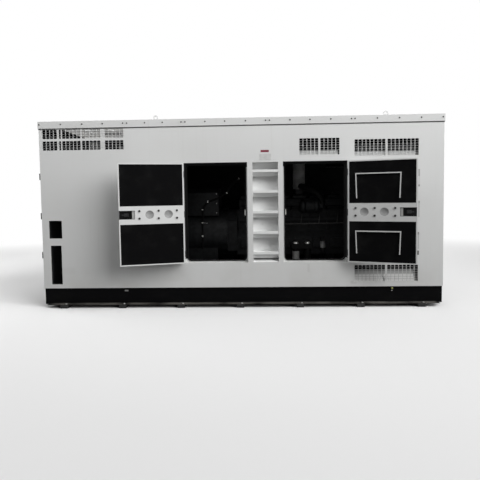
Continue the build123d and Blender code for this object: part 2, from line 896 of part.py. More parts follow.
def engine_mounts():
    """Four feet between the rails and the crankcase."""
    legs = []
    for x in (engine_x0 + rear_mount_distance, engine_x1 - front_mount_distance):
        for y in (-rail_offset, rail_offset):
            legs.append(slab(x - mount_length / 2, x + mount_length / 2, y - mount_width / 2,
                             y + mount_width / 2, rail_z1, crankcase_foot_z))
    return group(*legs)


def engine_block():
    """The crankcase and block as one casting, with its sump and the timing case at the fan end."""
    casting = symmetric_outline([
        (crankcase_half_width, crankcase_foot_z),
        (crankcase_half_width, shaft_height - shoulder_drop),
        (block_half_width, shaft_height + shoulder_rise),
        (block_half_width, block_top),
    ])
    sump = symmetric_outline([
        (sump_half_bottom, shaft_height - sump_drop),
        (sump_half_top, crankcase_foot_z),
    ])
    case = symmetric_outline([
        (timing_case_half_width, crankcase_foot_z + timing_case_corner),
        (timing_case_half_width, block_top - timing_case_corner),
        (timing_case_half_width - timing_case_corner, block_top),
    ])
    block = profile_along_x(casting, engine_x0, engine_x1)
    block += profile_along_x(sump, engine_x0 + sump_end_gap, engine_x1 - sump_end_gap)
    return block + profile_along_x(case, engine_x1, engine_x1 + timing_case_length)


def head_x(index):
    return first_head_x + index * head_pitch


def cylinder_heads():
    """One head to each cylinder with a chamfered rocker cover."""
    heads = []
    for i in range(cylinder_count):
        x0 = head_x(i) - head_length / 2
        x1 = head_x(i) + head_length / 2
        cover = slab(x0 + cover_inset, x1 - cover_inset, -cover_half_width, cover_half_width,
                     head_top, cover_top)
        cover = chamfer(cover.edges().group_by(Axis.Z)[-1], cover_chamfer)
        heads.append(slab(x0, x1, -head_half_width, head_half_width, block_top, head_top) + cover)
    return group(*heads)


def exhaust_manifold():
    """The pipe along the heads with a branch to each one and the turbocharger on it."""
    z = block_top + manifold_rise
    face = Plane(origin=(engine_x0 + manifold_end_gap, -manifold_offset, z), x_dir=(0, 1, 0), z_dir=(1, 0, 0))
    pipe = extrude(face * RegularPolygon(manifold_radius, manifold_sides, major_radius=False),
                   amount=engine_length - 2 * manifold_end_gap)
    for i in range(cylinder_count):
        pipe += slab(head_x(i) - branch_size / 2, head_x(i) + branch_size / 2,
                     -manifold_offset, -head_half_width, z - branch_size / 2, z + branch_size / 2)
    return pipe + rod((turbo_x, -turbo_offset, block_top + turbo_rise), (1, 0, 0), turbo_radius, turbo_length)


def air_filter():
    """An upright canister on a foot over one of the heads."""
    x = head_x(air_filter_head)
    y = -air_filter_offset
    half = air_filter_foot_width / 2
    z = cover_top + air_filter_foot_length
    foot = slab(x - half, x + half, y - half, y + half, cover_top, z)
    return foot + rod((x, y, z), (0, 0, 1), air_filter_radius, air_filter_length)


def oil_filters():
    """Canisters hung from a head on the side of the crankcase, and a small one beside them."""
    head_x0 = filter_x - filter_head_overlap
    head_x1 = filter_x + (filter_count - 1) * filter_pitch + filter_head_overlap
    y0 = -filter_offset - filter_head_overlap
    filters = slab(head_x0, head_x1, y0, -crankcase_half_width,
                   filter_head_z, filter_head_z + filter_head_height)
    for i in range(filter_count):
        x = filter_x + i * filter_pitch
        filters += rod((x, -filter_offset, filter_head_z), (0, 0, -1), filter_radius, filter_length)
    x = small_filter_x
    z = small_filter_head_z
    bracket = slab(x - small_filter_radius, x + small_filter_radius, y0, -crankcase_half_width,
                   z, z + small_filter_head_height)
    canister = rod((x, -filter_offset, z), (0, 0, -1), small_filter_radius, small_filter_length)
    return group(filters, bracket + canister)


def flywheel_housing():
    """The bell housing between engine and alternator."""
    outline = symmetric_outline([
        (housing_half_width - housing_corner, shaft_height - housing_half_width),
        (housing_half_width, shaft_height - housing_half_width + housing_corner),
        (housing_half_width, shaft_height + housing_half_width - housing_corner),
        (housing_half_width - housing_corner, shaft_height + housing_half_width),
    ])
    return profile_along_x(outline, engine_x0 - housing_length, engine_x0)


def alternator():
    """The alternator with its end bell, its feet and the terminal box on top."""
    x1 = engine_x0 - housing_length
    x0 = x1 - alternator_length
    body = rod((x0, 0, shaft_height), (1, 0, 0), alternator_radius, alternator_length)
    body += rod((x0 - alternator_bell_length, 0, shaft_height), (1, 0, 0), alternator_bell_radius,
                alternator_bell_length)
    for y in (-rail_offset, rail_offset):
        body += slab(x0 + alternator_foot_inset, x1 - alternator_foot_inset, y - alternator_foot_width / 2,
                     y + alternator_foot_width / 2, rail_z1, shaft_height - alternator_foot_drop)
    box_x0 = x0 + terminal_box_start
    box = slab(box_x0, box_x0 + terminal_box_length, -terminal_box_half_width, terminal_box_half_width,
               shaft_height + terminal_box_sink, shaft_height + terminal_box_rise)
    return body + chamfer(box.edges().filter_by(Axis.X).group_by(Axis.Z)[-1], terminal_box_chamfer)


def cowl_cone(grow):
    """The square cone from the radiator down to the fan, larger by grow."""
    side = 2 * (fan_radius + cowl_clearance + cowl_flare + grow)
    face = Plane(origin=(radiator_x, 0, fan_z), x_dir=(0, 1, 0), z_dir=(-1, 0, 0)) * Rectangle(side, side)
    return extrude(face, amount=cowl_depth, taper=math.degrees(math.atan(cowl_flare / cowl_depth)))


def radiator():
    """The radiator in its frame with the core set back, and the cowl that leads to the fan."""
    y = radiator_width / 2
    z1 = rail_z1 + radiator_height
    x1 = radiator_x + radiator_thick
    frame = slab(radiator_x, x1, -y, y, rail_z1, z1)
    for x in (radiator_x, x1):
        frame -= slab(x - core_recess, x + core_recess, -y + radiator_frame, y - radiator_frame,
                      rail_z1 + radiator_frame, z1 - radiator_frame)
    return frame + (cowl_cone(cowl_sheet) - cowl_cone(0))


def cooling_fan():
    """The fan inside the cowl, on the shaft from the timing case."""
    x0 = engine_x1 + timing_case_length
    hub_x = radiator_x - fan_setback - fan_hub_length / 2
    hub_face = Plane(origin=(hub_x, 0, fan_z), x_dir=(0, 1, 0), z_dir=(1, 0, 0))
    flats = RegularPolygon(fan_hub_radius, blade_count, major_radius=False, rotation=180 / blade_count)
    shaft = RegularPolygon(fan_shaft_radius, blade_count, major_radius=False)
    fan = extrude(hub_face * flats, amount=fan_hub_length)
    fan += extrude(hub_face * shaft, amount=x0 - hub_x)
    centre = Pos(hub_x + fan_hub_length / 2, 0, fan_z)
    blade = Rot(0, 0, blade_pitch_angle) * Box(blade_thick, blade_width, fan_radius - fan_hub_radius / 2)
    blade = Pos(0, 0, fan_radius / 2 + fan_hub_radius / 4) * blade
    for i in range(blade_count):
        fan += centre * Rot(360 / blade_count * i, 0, 0) * blade
    return fan


front_rail = base_channel()
save("base_channel_front", front_rail)
save("base_channel_back", mirror(front_rail, about=Plane.XZ))
save("base_end_channels", base_end_channels())
save("base_deck", base_deck())
save("fuel_tank", fuel_tank())
save("cross_bearers", cross_bearers())
save("earth_terminal", earth_terminal())
save("front_wall_left", front_wall_left())
save("front_wall_header", front_wall_header())
save("front_wall_sill", front_wall_sill())
save("front_wall_right", front_wall_right())
save("step_recess", step_recess())
save("step_treads", step_treads())
save("door_frame_left", door_frame(left_rebate_x0))
save("door_frame_right", door_frame(right_rebate_x0))
save("door_seals", group(door_seal(left_rebate_x0), door_seal(right_rebate_x0)))
save("latch_keepers", group(latch_keeper(left_rebate_x0 + rebate_width - seal_inner_inset, -1),
                            latch_keeper(right_rebate_x0 + seal_inner_inset, 1)))
save("hinge_brackets", fixed_hinges())
save("back_wall", back_wall())
save("back_doors", place_back(closed_door()))
save("back_grilles", back_grilles())
save("left_end_wall", left_end_wall())
save("left_end_door", place_left_end(closed_door()))
save("right_end_wall", right_end_wall())
save("right_end_louvre", right_end_louvre())
save("roof_panels", roof_panels())
save("lifting_eyes", lifting_eyes())
save("grille_upper_left", upper_left.assembly())
save("grille_upper_middle", upper_middle.assembly())
save("grille_upper_right", upper_right.assembly())
save("grille_lower_right", lower_right.assembly())
save("rain_baffles", group(*[grille.baffle() for grille in front_grilles]))
leaf = Leaf()
for side, swing in (("left", swing_left), ("right", swing_right)):
    save(f"{side}_door_pan", swing(leaf.pan()))
    save(f"{side}_door_foam", swing(leaf.foam()))
    save(f"{side}_door_lock_bar", swing(leaf.lock_bar()))
    save(f"{side}_door_lock", swing(leaf.lock()))
    save(f"{side}_door_hinges", swing(leaf.hinges()))
save("right_door_baffles", swing_right(leaf.hoods()))
save("engine_rails", engine_rails())
save("engine_mounts", engine_mounts())
save("engine_block", engine_block())
save("cylinder_heads", cylinder_heads())
save("exhaust_manifold", exhaust_manifold())
save("air_filter", air_filter())
save("oil_filters", oil_filters())
save("flywheel_housing", flywheel_housing())
save("alternator", alternator())
save("radiator", radiator())
save("cooling_fan", cooling_fan())
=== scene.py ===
from collections import namedtuple
import math

import bmesh
import bpy
from mathutils import Matrix, Vector


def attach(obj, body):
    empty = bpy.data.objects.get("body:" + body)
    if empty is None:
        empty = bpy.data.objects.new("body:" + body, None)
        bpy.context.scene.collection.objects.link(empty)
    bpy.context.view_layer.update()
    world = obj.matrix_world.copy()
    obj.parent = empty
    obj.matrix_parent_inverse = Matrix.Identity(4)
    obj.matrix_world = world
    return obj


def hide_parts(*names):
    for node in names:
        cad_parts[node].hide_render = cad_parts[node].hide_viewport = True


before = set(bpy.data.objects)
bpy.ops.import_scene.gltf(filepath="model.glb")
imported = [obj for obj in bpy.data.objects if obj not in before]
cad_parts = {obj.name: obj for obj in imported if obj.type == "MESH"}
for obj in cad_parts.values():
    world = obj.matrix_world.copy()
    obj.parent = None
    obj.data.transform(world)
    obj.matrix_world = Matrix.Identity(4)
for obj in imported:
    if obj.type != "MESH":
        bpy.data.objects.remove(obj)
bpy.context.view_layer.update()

# Metres and degrees. The front faces -Y, +X is to the right and +Z is up.

# Walls and base
FRONT_Y = -1.0
BACK_Y = 1.0
HALF_LENGTH = 2.632
WALL_SHEET = 0.0035
BASE_TOP = 0.265
WALL_TOP = 2.477
BEARER_BOLTS = tuple(-2.355 + i * 0.785 + 0.022 for i in range(7))

# Roof; the spread draws the places of the skirt's bolts in a little, away from its ends
ROOF_TOP = 2.480
ROOF_SEAMS = (-1.485, -0.717, 0.384, 1.483)
SEAM_HALF_WIDTH = 0.020
SKIRT_FACE = 1.008
SKIRT_BOTTOM = 2.388
SKIRT_BOLT_Z = 2.440
SKIRT_BOLT_RADIUS = 0.0085
SKIRT_BOLT_HEIGHT = 0.006
SKIRT_BOLT_SPREAD = 0.997
SKIRT_BOLTS = (
    -2.629, -2.339, -2.055, -1.781, -1.512, -1.459, -1.222, -0.989, -0.743, -0.692, -0.431, -0.173,
    0.097, 0.358, 0.408, 0.672, 0.929, 1.197, 1.460, 1.506, 1.790, 2.070, 2.348, 2.620)
END_SKIRT_BOLTS = (-0.930, -0.664, -0.399, -0.133, 0.133, 0.399, 0.664, 0.930)
END_HEAD_PITCH = 0.2657
# A dark strip on the walls under the roof's skirt is painted shadow: its thickness and its low and high
# edges
SHADOW_STRIP_THICKNESS = 0.0045
SHADOW_STRIP_LOW = SKIRT_BOTTOM - 0.011
SHADOW_STRIP_HIGH = SKIRT_BOTTOM + 0.006

# Doors
LEFT_HINGE = (-0.720, -1.014, 0)
LEFT_SWING = -165.7
RIGHT_HINGE = (1.405, -1.014, 0)
RIGHT_SWING = 162.6
HINGE_HEIGHTS = (0.713, 1.236, 1.759)
LEAF_INNER_FACE = 0.064
LOCK_BAR_Z = 1.248
LOCK_X = 0.7245
POCKET_START = 0.627
POCKET_HALF_HEIGHT = 0.0505
BAR_BOLTS = (0.100, 0.331, 0.570)
BAR_BOLT_RISE = 0.048
DISHES = (0.206, 0.444)
DISH_RADIUS = 0.0528
DISH_DEPTH = 0.0118
BOWL_RINGS = (0.0, 0.010, 0.020, 0.030, 0.038, 0.045, 0.050, DISH_RADIUS)
PADDLE_HALF_WIDTH = 0.044
PADDLE_HALF_HEIGHT = 0.028
PADDLE_FOOT = 0.0030
PADDLE_FACE = 0.0062
KEY_FOOT = 0.0060
KEY_DROP = 0.036
KEY_RADIUS = 0.007
KEY_LENGTH = 0.0025
END_DOOR_HINGE_Y = -0.9900

# Grilles: left edge, bottom edge and size of the field of holes, then its columns and its rows:
# how many in each group, the pitch in that group, and the rib after it
Grille = namedtuple("Grille", "x z width height columns rows")
ROWS_4_4 = ((4, 0.031, 0.026), (4, 0.031, 0))
ROWS_7 = ((7, 0.031, 0),)
COLUMNS_LEFT = ((4, 0.050, 0.021), (1, 0.032, 0.010), (5, 0.050, 0.014), (5, 0.050, 0.055), (5, 0.050, 0))
COLUMNS_5_5 = ((5, 0.050, 0.020), (5, 0.050, 0))
COLUMNS_8_8 = ((8, 0.050, 0.020), (8, 0.050, 0))
GRILLE_UPPER_LEFT = Grille(-2.586, 2.100, 1.090, 0.274, COLUMNS_LEFT, ROWS_4_4)
GRILLE_UPPER_MIDDLE = Grille(0.786, 1.985, 0.520, 0.217, COLUMNS_5_5, ROWS_7)
GRILLE_UPPER_RIGHT = Grille(1.493, 1.960, 0.820, 0.217, COLUMNS_8_8, ROWS_7)
GRILLE_LOWER_RIGHT = Grille(1.493, 0.332, 0.820, 0.217, COLUMNS_8_8, ROWS_7)
FRONT_GRILLES = {
    "grille_upper_left": GRILLE_UPPER_LEFT, "grille_upper_middle": GRILLE_UPPER_MIDDLE,
    "grille_upper_right": GRILLE_UPPER_RIGHT, "grille_lower_right": GRILLE_LOWER_RIGHT,
}
BACK_GRILLES = (GRILLE_UPPER_LEFT, GRILLE_UPPER_RIGHT, GRILLE_LOWER_RIGHT)
GRILLE_PLATE = 0.003
GRILLE_BORDER = 0.012
COLUMN_BAR = 0.007
ROW_BAR = 0.0045
HOLE_CORNER = 0.004
BAFFLE_BORDER = 0.010

# Machines inside
HEADS = tuple(0.095 + 0.262 * i for i in range(6))
HEAD_RIBS = tuple(-0.036 + 0.262 * i for i in range(7))
OIL_CAP = ((0, 0), (0.022, 0), (0.022, 0.018), (0.016, 0.024), (0, 0.024))
SIDE_COVER_FACE = -0.374
TURBO_Y, TURBO_Z = -0.375, 1.304
COMPRESSOR = ((0, 0), (0.070, 0), (0.100, 0.020), (0.112, 0.048), (0.100, 0.078), (0.075, 0.095),
              (0.062, 0.100), (0.062, 0.135), (0, 0.135))
TURBINE = ((0, 0), (0.072, 0), (0.096, 0.018), (0.106, 0.044), (0.094, 0.072), (0.068, 0.088), (0, 0.088))
AIR_FILTER_X, AIR_FILTER_Y = 0.881, -0.10
AIR_FILTER_BAND = ((0.0895, -0.010), (0.0935, -0.008), (0.0935, 0.008), (0.0895, 0.010))
FILTER_CAP = ((0, 0), (0.040, 0), (0.040, 0.010), (0.030, 0.022), (0.014, 0.026), (0, 0.026))
ALTERNATOR_X, ALTERNATOR_AXIS_Z = -0.63, 0.880
ALTERNATOR_FACE = -0.330
LOOM_CLIP = ((0.0142, -0.007), (0.0160, -0.006), (0.0160, 0.006), (0.0142, 0.007))

# Whites and greys
WHITE = (0.640, 0.645, 0.640)
WHITE_DUSTY = (0.520, 0.515, 0.495)
WHITE_SCUFF = (0.380, 0.375, 0.360)
# The step recess's white, lighter than the wall's, is painted light
STEP_PAINTED_LIGHT = (0.740, 0.745, 0.740)
# A brighter white for painted light: the baffles' foot and the bright strips behind the left grille
PAINTED_LIGHT_WHITE = (0.900, 0.900, 0.890)
MARK_GREY = (0.200, 0.198, 0.195)
# The dishes' grey, darker than the bar's paint, is painted shade in their bowls
DISH_SHADE_GREY = (0.300, 0.302, 0.300)
SHEET_GREY = (0.400, 0.400, 0.396)
PLATE_GREY = (0.545, 0.545, 0.535)
# The dark grey of the strip under the roof's skirt, which is painted shadow
SHADOW_STRIP_GREY = (0.060, 0.060, 0.060)
CANISTER_GREY = (0.420, 0.420, 0.412)
CANISTER_GRIME = (0.240, 0.238, 0.230)
SMALL_CAN_GREY = (0.300, 0.300, 0.295)
HOUSING_GREY = (0.520, 0.520, 0.515)
HOUSING_DULL = (0.260, 0.260, 0.256)

# Metals
ZINC = (0.52, 0.52, 0.50)
BARE_STRIP = (0.36, 0.36, 0.35)
DULL_TAB = (0.22, 0.22, 0.215)
LIGHT_BOLT = (0.42, 0.42, 0.41)
DARK_BOLT = (0.040, 0.039, 0.038)
BRASS = (0.42, 0.44, 0.16)
CORE_TUBE = (0.10, 0.10, 0.105)
CORE_FIN = (0.025, 0.025, 0.026)
CORE_FRAME = (0.020, 0.020, 0.021)

# Blacks, dust and the red strip
# The foam's black, which is also painted shade on the baffles and in the doorway frames
FOAM_AND_SHADE_BLACK = (0.0045, 0.0045, 0.0048)
FOAM_DUST = (0.0090, 0.0090, 0.0090)
BASE_BLACK = (0.0030, 0.0030, 0.0033)
BEARER_BLACK = (0.020, 0.020, 0.020)
RUBBER_BLACK = (0.005, 0.005, 0.005)
HINGE_BLACK = (0.012, 0.012, 0.013)
BARREL_BLACK = (0.010, 0.010, 0.011)
LOCK_BLACK = (0.006, 0.006, 0.006)
FITTING_BLACK = (0.018, 0.018, 0.020)
FILTER_BLACK = (0.007, 0.007, 0.007)
CASTING_BLACK = (0.0065, 0.0068, 0.0072)
MACHINE_BLACK = (0.0085, 0.0090, 0.0095)
ROAD_DUST = (0.105, 0.100, 0.092)
STRIP_RED = (0.160, 0.006, 0.026)

# Paint on sheet: its roughness, its grain's scale, depth and strength, and its soft edge to the lining
PAINT_ROUGHNESS = 0.42
GRAIN_SCALE = 26.0
GRAIN_DEPTH = 0.0004
GRAIN_STRENGTH = 0.4
SHEET_EDGE = 0.0002

# Radiator core: a wave's radians a metre, for tubes 10 mm apart and fins 3.5 mm apart
TUBE_WAVE = 628.3
FIN_WAVE = 1795.0

# Marks on the front wall: place, half width and half height, soft edge, depth and shade
FRONT_MARKS = (
    (0.289, 1.535, 0.015, 0.006, 0.012, 0.55, WHITE_SCUFF),
    (0.261, 0.987, 0.012, 0.006, 0.012, 0.55, WHITE_SCUFF),
    (0.899, 0.513, 0.008, 0.046, 0.014, 0.22, WHITE_SCUFF),
    (1.483, 0.320, 0.030, 0.010, 0.016, 0.35, WHITE_SCUFF),
    (2.318, 1.738, 0.006, 0.042, 0.005, 0.80, MARK_GREY),
    (2.318, 1.645, 0.004, 0.060, 0.004, 0.35, MARK_GREY),
    (2.319, 1.572, 0.007, 0.010, 0.005, 0.95, MARK_GREY),
    (2.320, 1.360, 0.006, 0.014, 0.005, 0.70, MARK_GREY),
    (2.319, 1.268, 0.004, 0.100, 0.004, 0.60, MARK_GREY),
    (2.314, 0.955, 0.007, 0.014, 0.005, 0.90, MARK_GREY),
    (2.314, 0.845, 0.004, 0.095, 0.004, 0.55, MARK_GREY),
    (2.312, 0.702, 0.008, 0.025, 0.005, 0.90, FOAM_DUST),
    (-2.350, 0.500, 0.120, 0.018, 0.050, 0.12, WHITE_SCUFF),
)

# Camera and light
CAMERA_PLACE = (0.1845, -6.228, 1.4966)
CAMERA_TURN = (2.77, -0.721, -1.882)
LENS = 30.0
SENSOR = 36.0
FRAME_SHIFT = -0.05625
FAR_LIMIT = 200.0
FLOOR_HALF_SIZE = 60
FLOOR_LIT = (0.13, 0.13, 0.13)
FLOOR_SEEN = (0.76, 0.76, 0.76)
PURE_WHITE = (1.0, 1.0, 1.0)
SURROUND_LIGHT = 0.06
SIDE_LIGHT_POWER = 3.15
SIDE_LIGHT_SPREAD = 50
SIDE_LIGHT_BEARING = 66
SIDE_LIGHT_SLOPE = 0.60


class Signal:
    """A socket of a node tree; arithmetic on it adds Math nodes."""

    def __init__(self, owner, socket):
        self.owner = owner
        self.socket = socket

    def maths(self, operation, *values):
        return self.owner.node("ShaderNodeMath", {"operation": operation}, dict(enumerate(values)))

    def __add__(self, other):
        return self.maths("ADD", self, other)

    def __radd__(self, other):
        return self.maths("ADD", other, self)

    def __sub__(self, other):
        return self.maths("SUBTRACT", self, other)

    def __rsub__(self, other):
        return self.maths("SUBTRACT", other, self)

    def __mul__(self, other):
        return self.maths("MULTIPLY", self, other)

    def __rmul__(self, other):
        return self.maths("MULTIPLY", other, self)

    def __abs__(self):
        return self.maths("ABSOLUTE", self)

    def sine(self):
        return self.maths("SINE", self)

    def either(self, other):
        """The larger of two masks."""
        return self.maths("MAXIMUM", self, other)

    def to_and_fro(self, length):
        """Rises from 0 to a length and falls back again, over and over."""
        return self.maths("PINGPONG", self, length)

    def ramp(self, start, end):
        """0 up to start, 1 from end on, with a soft change between."""
        values = {"Value": self, "From Min": start, "From Max": end}
        return self.owner.node("ShaderNodeMapRange", {"interpolation_type": "SMOOTHSTEP"}, values)

    def between(self, low, high, soft):
        """1 between low and high, with soft edges outside them."""
        return self.ramp(low - soft, low) * (1 - self.ramp(high, high + soft))


class Nodes:
    """A node tree that is built from values and signals."""

    def __init__(self, tree):
        self.tree = tree

    def feed(self, node, values):
        """Links or sets a node's sockets; a colour is given as three numbers."""
        for name, value in values.items():
            if isinstance(value, Signal):
                self.tree.links.new(value.socket, node.inputs[name])
            elif isinstance(value, tuple) and node.inputs[name].type == "RGBA":
                node.inputs[name].default_value = (*value, 1.0)
            else:
                node.inputs[name].default_value = value

    def node(self, kind, settings=None, values=None, out=0):
        """Adds a node and gives its output, or a tuple of outputs where out is a tuple."""
        made = self.tree.nodes.new(kind)
        for name, value in (settings or {}).items():
            setattr(made, name, value)
        self.feed(made, values or {})
        if isinstance(out, tuple):
            return tuple(Signal(self, made.outputs[name]) for name in out)
        return Signal(self, made.outputs[out])

    def sight(self):
        """1 for what the camera sees straight, in gloss or through glass."""
        rays = ("Is Camera Ray", "Is Glossy Ray", "Is Transmission Ray")
        straight, gloss, glass = self.node("ShaderNodeLightPath", out=rays)
        return straight.either(gloss.either(glass))

    def blend(self, factor, low, high):
        """The shader low where factor is 0 and high where it is 1."""
        return self.node("ShaderNodeMixShader", None, {0: factor, 1: low, 2: high})


class Finish(Nodes):
    """A material that takes its patterns from the place on the object."""

    def __init__(self, name, slot, roughness=0.5, metallic=0.0, specular=0.5):
        self.material = bpy.data.materials.new(name)
        self.material.use_nodes = True
        super().__init__(self.material.node_tree)
        self.slot = slot
        self.shader = self.tree.nodes["Principled BSDF"]
        self.feed(self.shader, {"Metallic": metallic, "Specular IOR Level": specular})
        self.dull(roughness)
        self.place = self.node("ShaderNodeTexCoord", out="Object")
        self.x, self.y, self.z = self.node("ShaderNodeSeparateXYZ", None, {"Vector": self.place},
                                           out=("X", "Y", "Z"))

    def noise(self, scale, stretch=(1, 1, 1), detail=3.0, shift=(0, 0, 0)):
        spread = self.node("ShaderNodeMapping", None,
                           {"Vector": self.place, "Scale": stretch, "Location": shift})
        return self.node("ShaderNodeTexNoise", None,
                         {"Vector": spread, "Scale": scale, "Detail": detail, "Roughness": 0.55})

    def shade(self, factor, low, high):
        """The colour low where factor is 0 and high where it is 1."""
        return self.node("ShaderNodeMix", {"data_type": "RGBA"}, {0: factor, 6: low, 7: high}, out=2)

    def spot(self, x, z, half_width, half_height, soft):
        """A mark on the front wall around a point."""
        across = abs(self.x - x).ramp(half_width + soft, half_width)
        up = abs(self.z - z).ramp(half_height + soft, half_height)
        return across * up * self.y.ramp(-0.98, -0.99)

    def colour(self, coat):
        self.coat = coat
        self.feed(self.shader, {"Base Color": coat})

    def dull(self, roughness):
        self.feed(self.shader, {"Roughness": roughness})

    def relief(self, height, distance, strength):
        values = {"Height": height, "Distance": distance, "Strength": strength}
        self.feed(self.shader, {"Normal": self.node("ShaderNodeBump", None, values)})


def paint_grain(finish):
    return finish.noise(GRAIN_SCALE, detail=2.0)


def outer_paint(finish):
    """White powder coat with faint clouds, streaks from the roof, darker patches low down and a few scuffs.
    """
    clouds = finish.noise(0.9, detail=4.0).ramp(0.35, 0.70)
    streaks = finish.noise(3.0, stretch=(9, 9, 0.25), detail=4.0).ramp(0.56, 0.78)
    low = (1 - finish.z.ramp(BASE_TOP, 0.75)) * finish.noise(2.2, shift=(3, 1, 0)).ramp(0.35, 0.75)
    scuffs = finish.noise(14.0, stretch=(1, 1, 0.6), detail=5.0, shift=(7, 2, 5)).ramp(0.69, 0.74)
    patchy = finish.noise(1.3, shift=(11, 5, 2)).ramp(0.50, 0.62)
    colour = finish.shade(clouds * 0.16, WHITE, WHITE_DUSTY)
    colour = finish.shade(streaks * 0.22, colour, WHITE_DUSTY)
    colour = finish.shade(low * 0.5, colour, WHITE_DUSTY)
    return finish.shade(scuffs * patchy * 0.5, colour, WHITE_SCUFF)


def white_sheet(name, slot="canopy_white"):
    """Sheet that is painted all over."""
    finish = Finish(name, slot, roughness=PAINT_ROUGHNESS)
    finish.colour(outer_paint(finish))
    finish.relief(paint_grain(finish), GRAIN_DEPTH, GRAIN_STRENGTH)
    return finish


def lined_wall(name, slot="canopy_white", marks=(), specular=0.5):
    """Painted sheet outside and black sound foam inside, told apart by the place."""
    finish = Finish(name, slot, specular=specular)
    inside = ((abs(finish.y) - (BACK_Y - WALL_SHEET)).ramp(SHEET_EDGE, -SHEET_EDGE)
              * (abs(finish.x) - (HALF_LENGTH - WALL_SHEET)).ramp(SHEET_EDGE, -SHEET_EDGE)
              * (WALL_TOP - finish.z).ramp(-4 * SHEET_EDGE, 0.0)
              * (finish.z - BASE_TOP).ramp(-SHEET_EDGE, SHEET_EDGE))
    colour = outer_paint(finish)
    for *mark, depth, shade in marks:
        colour = finish.shade(finish.spot(*mark) * depth, colour, shade)
    finish.colour(finish.shade(inside, colour, FOAM_AND_SHADE_BLACK))
    finish.dull(PAINT_ROUGHNESS + inside * 0.56)
    cells = finish.noise(240.0, detail=2.0) * inside * 3.0
    finish.relief(paint_grain(finish) * (1 - inside) + cells, GRAIN_DEPTH, GRAIN_STRENGTH)
    return finish


def plain(name, slot, colour, roughness, metallic=0.0, specular=0.5, change=0.15, scale=18.0):
    """One colour that is a little darker and duller in patches."""
    finish = Finish(name, slot, metallic=metallic, specular=specular)
    patches = finish.noise(scale, detail=4.0)
    darker = tuple(c * (1 - 2 * change) for c in colour)
    lighter = tuple(c * (1 + change) for c in colour)
    finish.colour(finish.shade(patches.ramp(0.25, 0.75), lighter, darker))
    finish.dull(roughness - 0.08 + patches * 0.16)
    return finish


def open_cell_foam(name):
    """Black open-cell foam with a fine tooth and a breath of dust."""
    finish = Finish(name, "foam_black", roughness=0.97, specular=0.04)
    dust = finish.noise(5.0, detail=4.0).ramp(0.45, 0.80)
    finish.colour(finish.shade(dust, FOAM_AND_SHADE_BLACK, FOAM_DUST))
    finish.relief(finish.noise(420.0, detail=2.0), 0.0012, 0.6)
    return finish


def base_paint(name):
    """Black paint on folded plate, with dust that has settled on the bottom flange."""
    finish = Finish(name, "base_black", specular=0.03)
    settled = (finish.z.between(0.040, 0.058, 0.004) * abs(finish.y).ramp(0.955, 0.975)
               * finish.noise(3.0, detail=5.0).ramp(0.30, 0.62) * abs(finish.x).ramp(2.58, 2.52))
    film = finish.noise(4.5, stretch=(1, 1, 2.5), detail=5.0).ramp(0.45, 0.85) * 0.02
    finish.colour(finish.shade(settled * 0.9 + film, BASE_BLACK, ROAD_DUST))
    finish.dull(0.55 + settled * 0.4)
    return finish


def finned_core(name):
    """A radiator core: flat tubes upright, with fine fins between them."""
    finish = Finish(name, "core_aluminium", metallic=0.3, specular=0.4)
    core = abs(finish.y).ramp(0.642, 0.638) * finish.z.between(0.447, 1.773, 0.003)
    tubes = (finish.y * TUBE_WAVE).sine().ramp(0.2, 0.6)
    fins = (finish.z * FIN_WAVE).sine().ramp(-0.5, 0.5)
    colour = finish.shade(fins * (1 - tubes), CORE_TUBE, CORE_FIN)
    finish.colour(finish.shade(core, CORE_FRAME, colour))
    finish.dull(0.55 - tubes * core * 0.1)
    finish.relief(tubes * core, 0.002, 0.7)
    return finish


def end_door_paint(name):
    """White leaf, lined inside, whose lock plate and hinges, which stand proud of it, are black."""
    finish = Finish(name, "canopy_white")
    depth, width = abs(finish.x), abs(finish.y)
    black = width.ramp(1.0004, 1.0010).either(depth.ramp(HALF_LENGTH + 0.0004, HALF_LENGTH + 0.0010))
    lining = width.ramp(0.962, 0.961) * depth.ramp(HALF_LENGTH - 0.038, HALF_LENGTH - 0.039)
    colour = finish.shade(lining, outer_paint(finish), FOAM_AND_SHADE_BLACK)
    finish.colour(finish.shade(black, colour, FITTING_BLACK))
    finish.dull(PAINT_ROUGHNESS + lining * 0.5)
    return finish


def baffle_paint(name):
    """Black on the baffles, which is painted shade, with a white foot that shows through the lowest rows of
    the grilles and pale patches, both painted light.
    """
    finish = Finish(name, "canopy_white", roughness=0.6, specular=0.2)
    upper = finish.z.ramp(1.0, 1.1)
    right_side = finish.x.ramp(0.5, 0.6)
    far_right = finish.x.ramp(1.40, 1.41)
    last_column = 1 - finish.x.ramp(2.262, 2.266) * 0.7

    # The foot and the paler patches are painted light; the black everywhere else is painted shade
    low_foot = (1 - finish.z.ramp(0.418, 0.430)) * 0.40 + (1 - finish.z.ramp(0.430, 0.530)) * 0.60
    low_right = (1 - upper) * right_side * last_column * low_foot
    middle = (upper * right_side * (1 - far_right) * (1 - finish.z.ramp(2.036, 2.046))
              * (1 - finish.x.ramp(1.285, 1.290)))
    right = upper * far_right * (last_column * (1 - finish.z.ramp(2.012, 2.022)) * 0.94 + 0.06)
    left = (finish.x.between(-1.965, -1.800, 0.015) * 0.20
            + finish.x.between(-1.760, -1.500, 0.010) * finish.z.ramp(2.190, 2.196) * 0.16
            + finish.x.between(-1.570, -1.500, 0.010) * (1 - finish.z.ramp(2.135, 2.150)) * 0.22)
    light = low_right + middle + right + left
    finish.colour(finish.shade(light, FOAM_AND_SHADE_BLACK, finish.shade(upper, PAINTED_LIGHT_WHITE, WHITE)))
    return finish


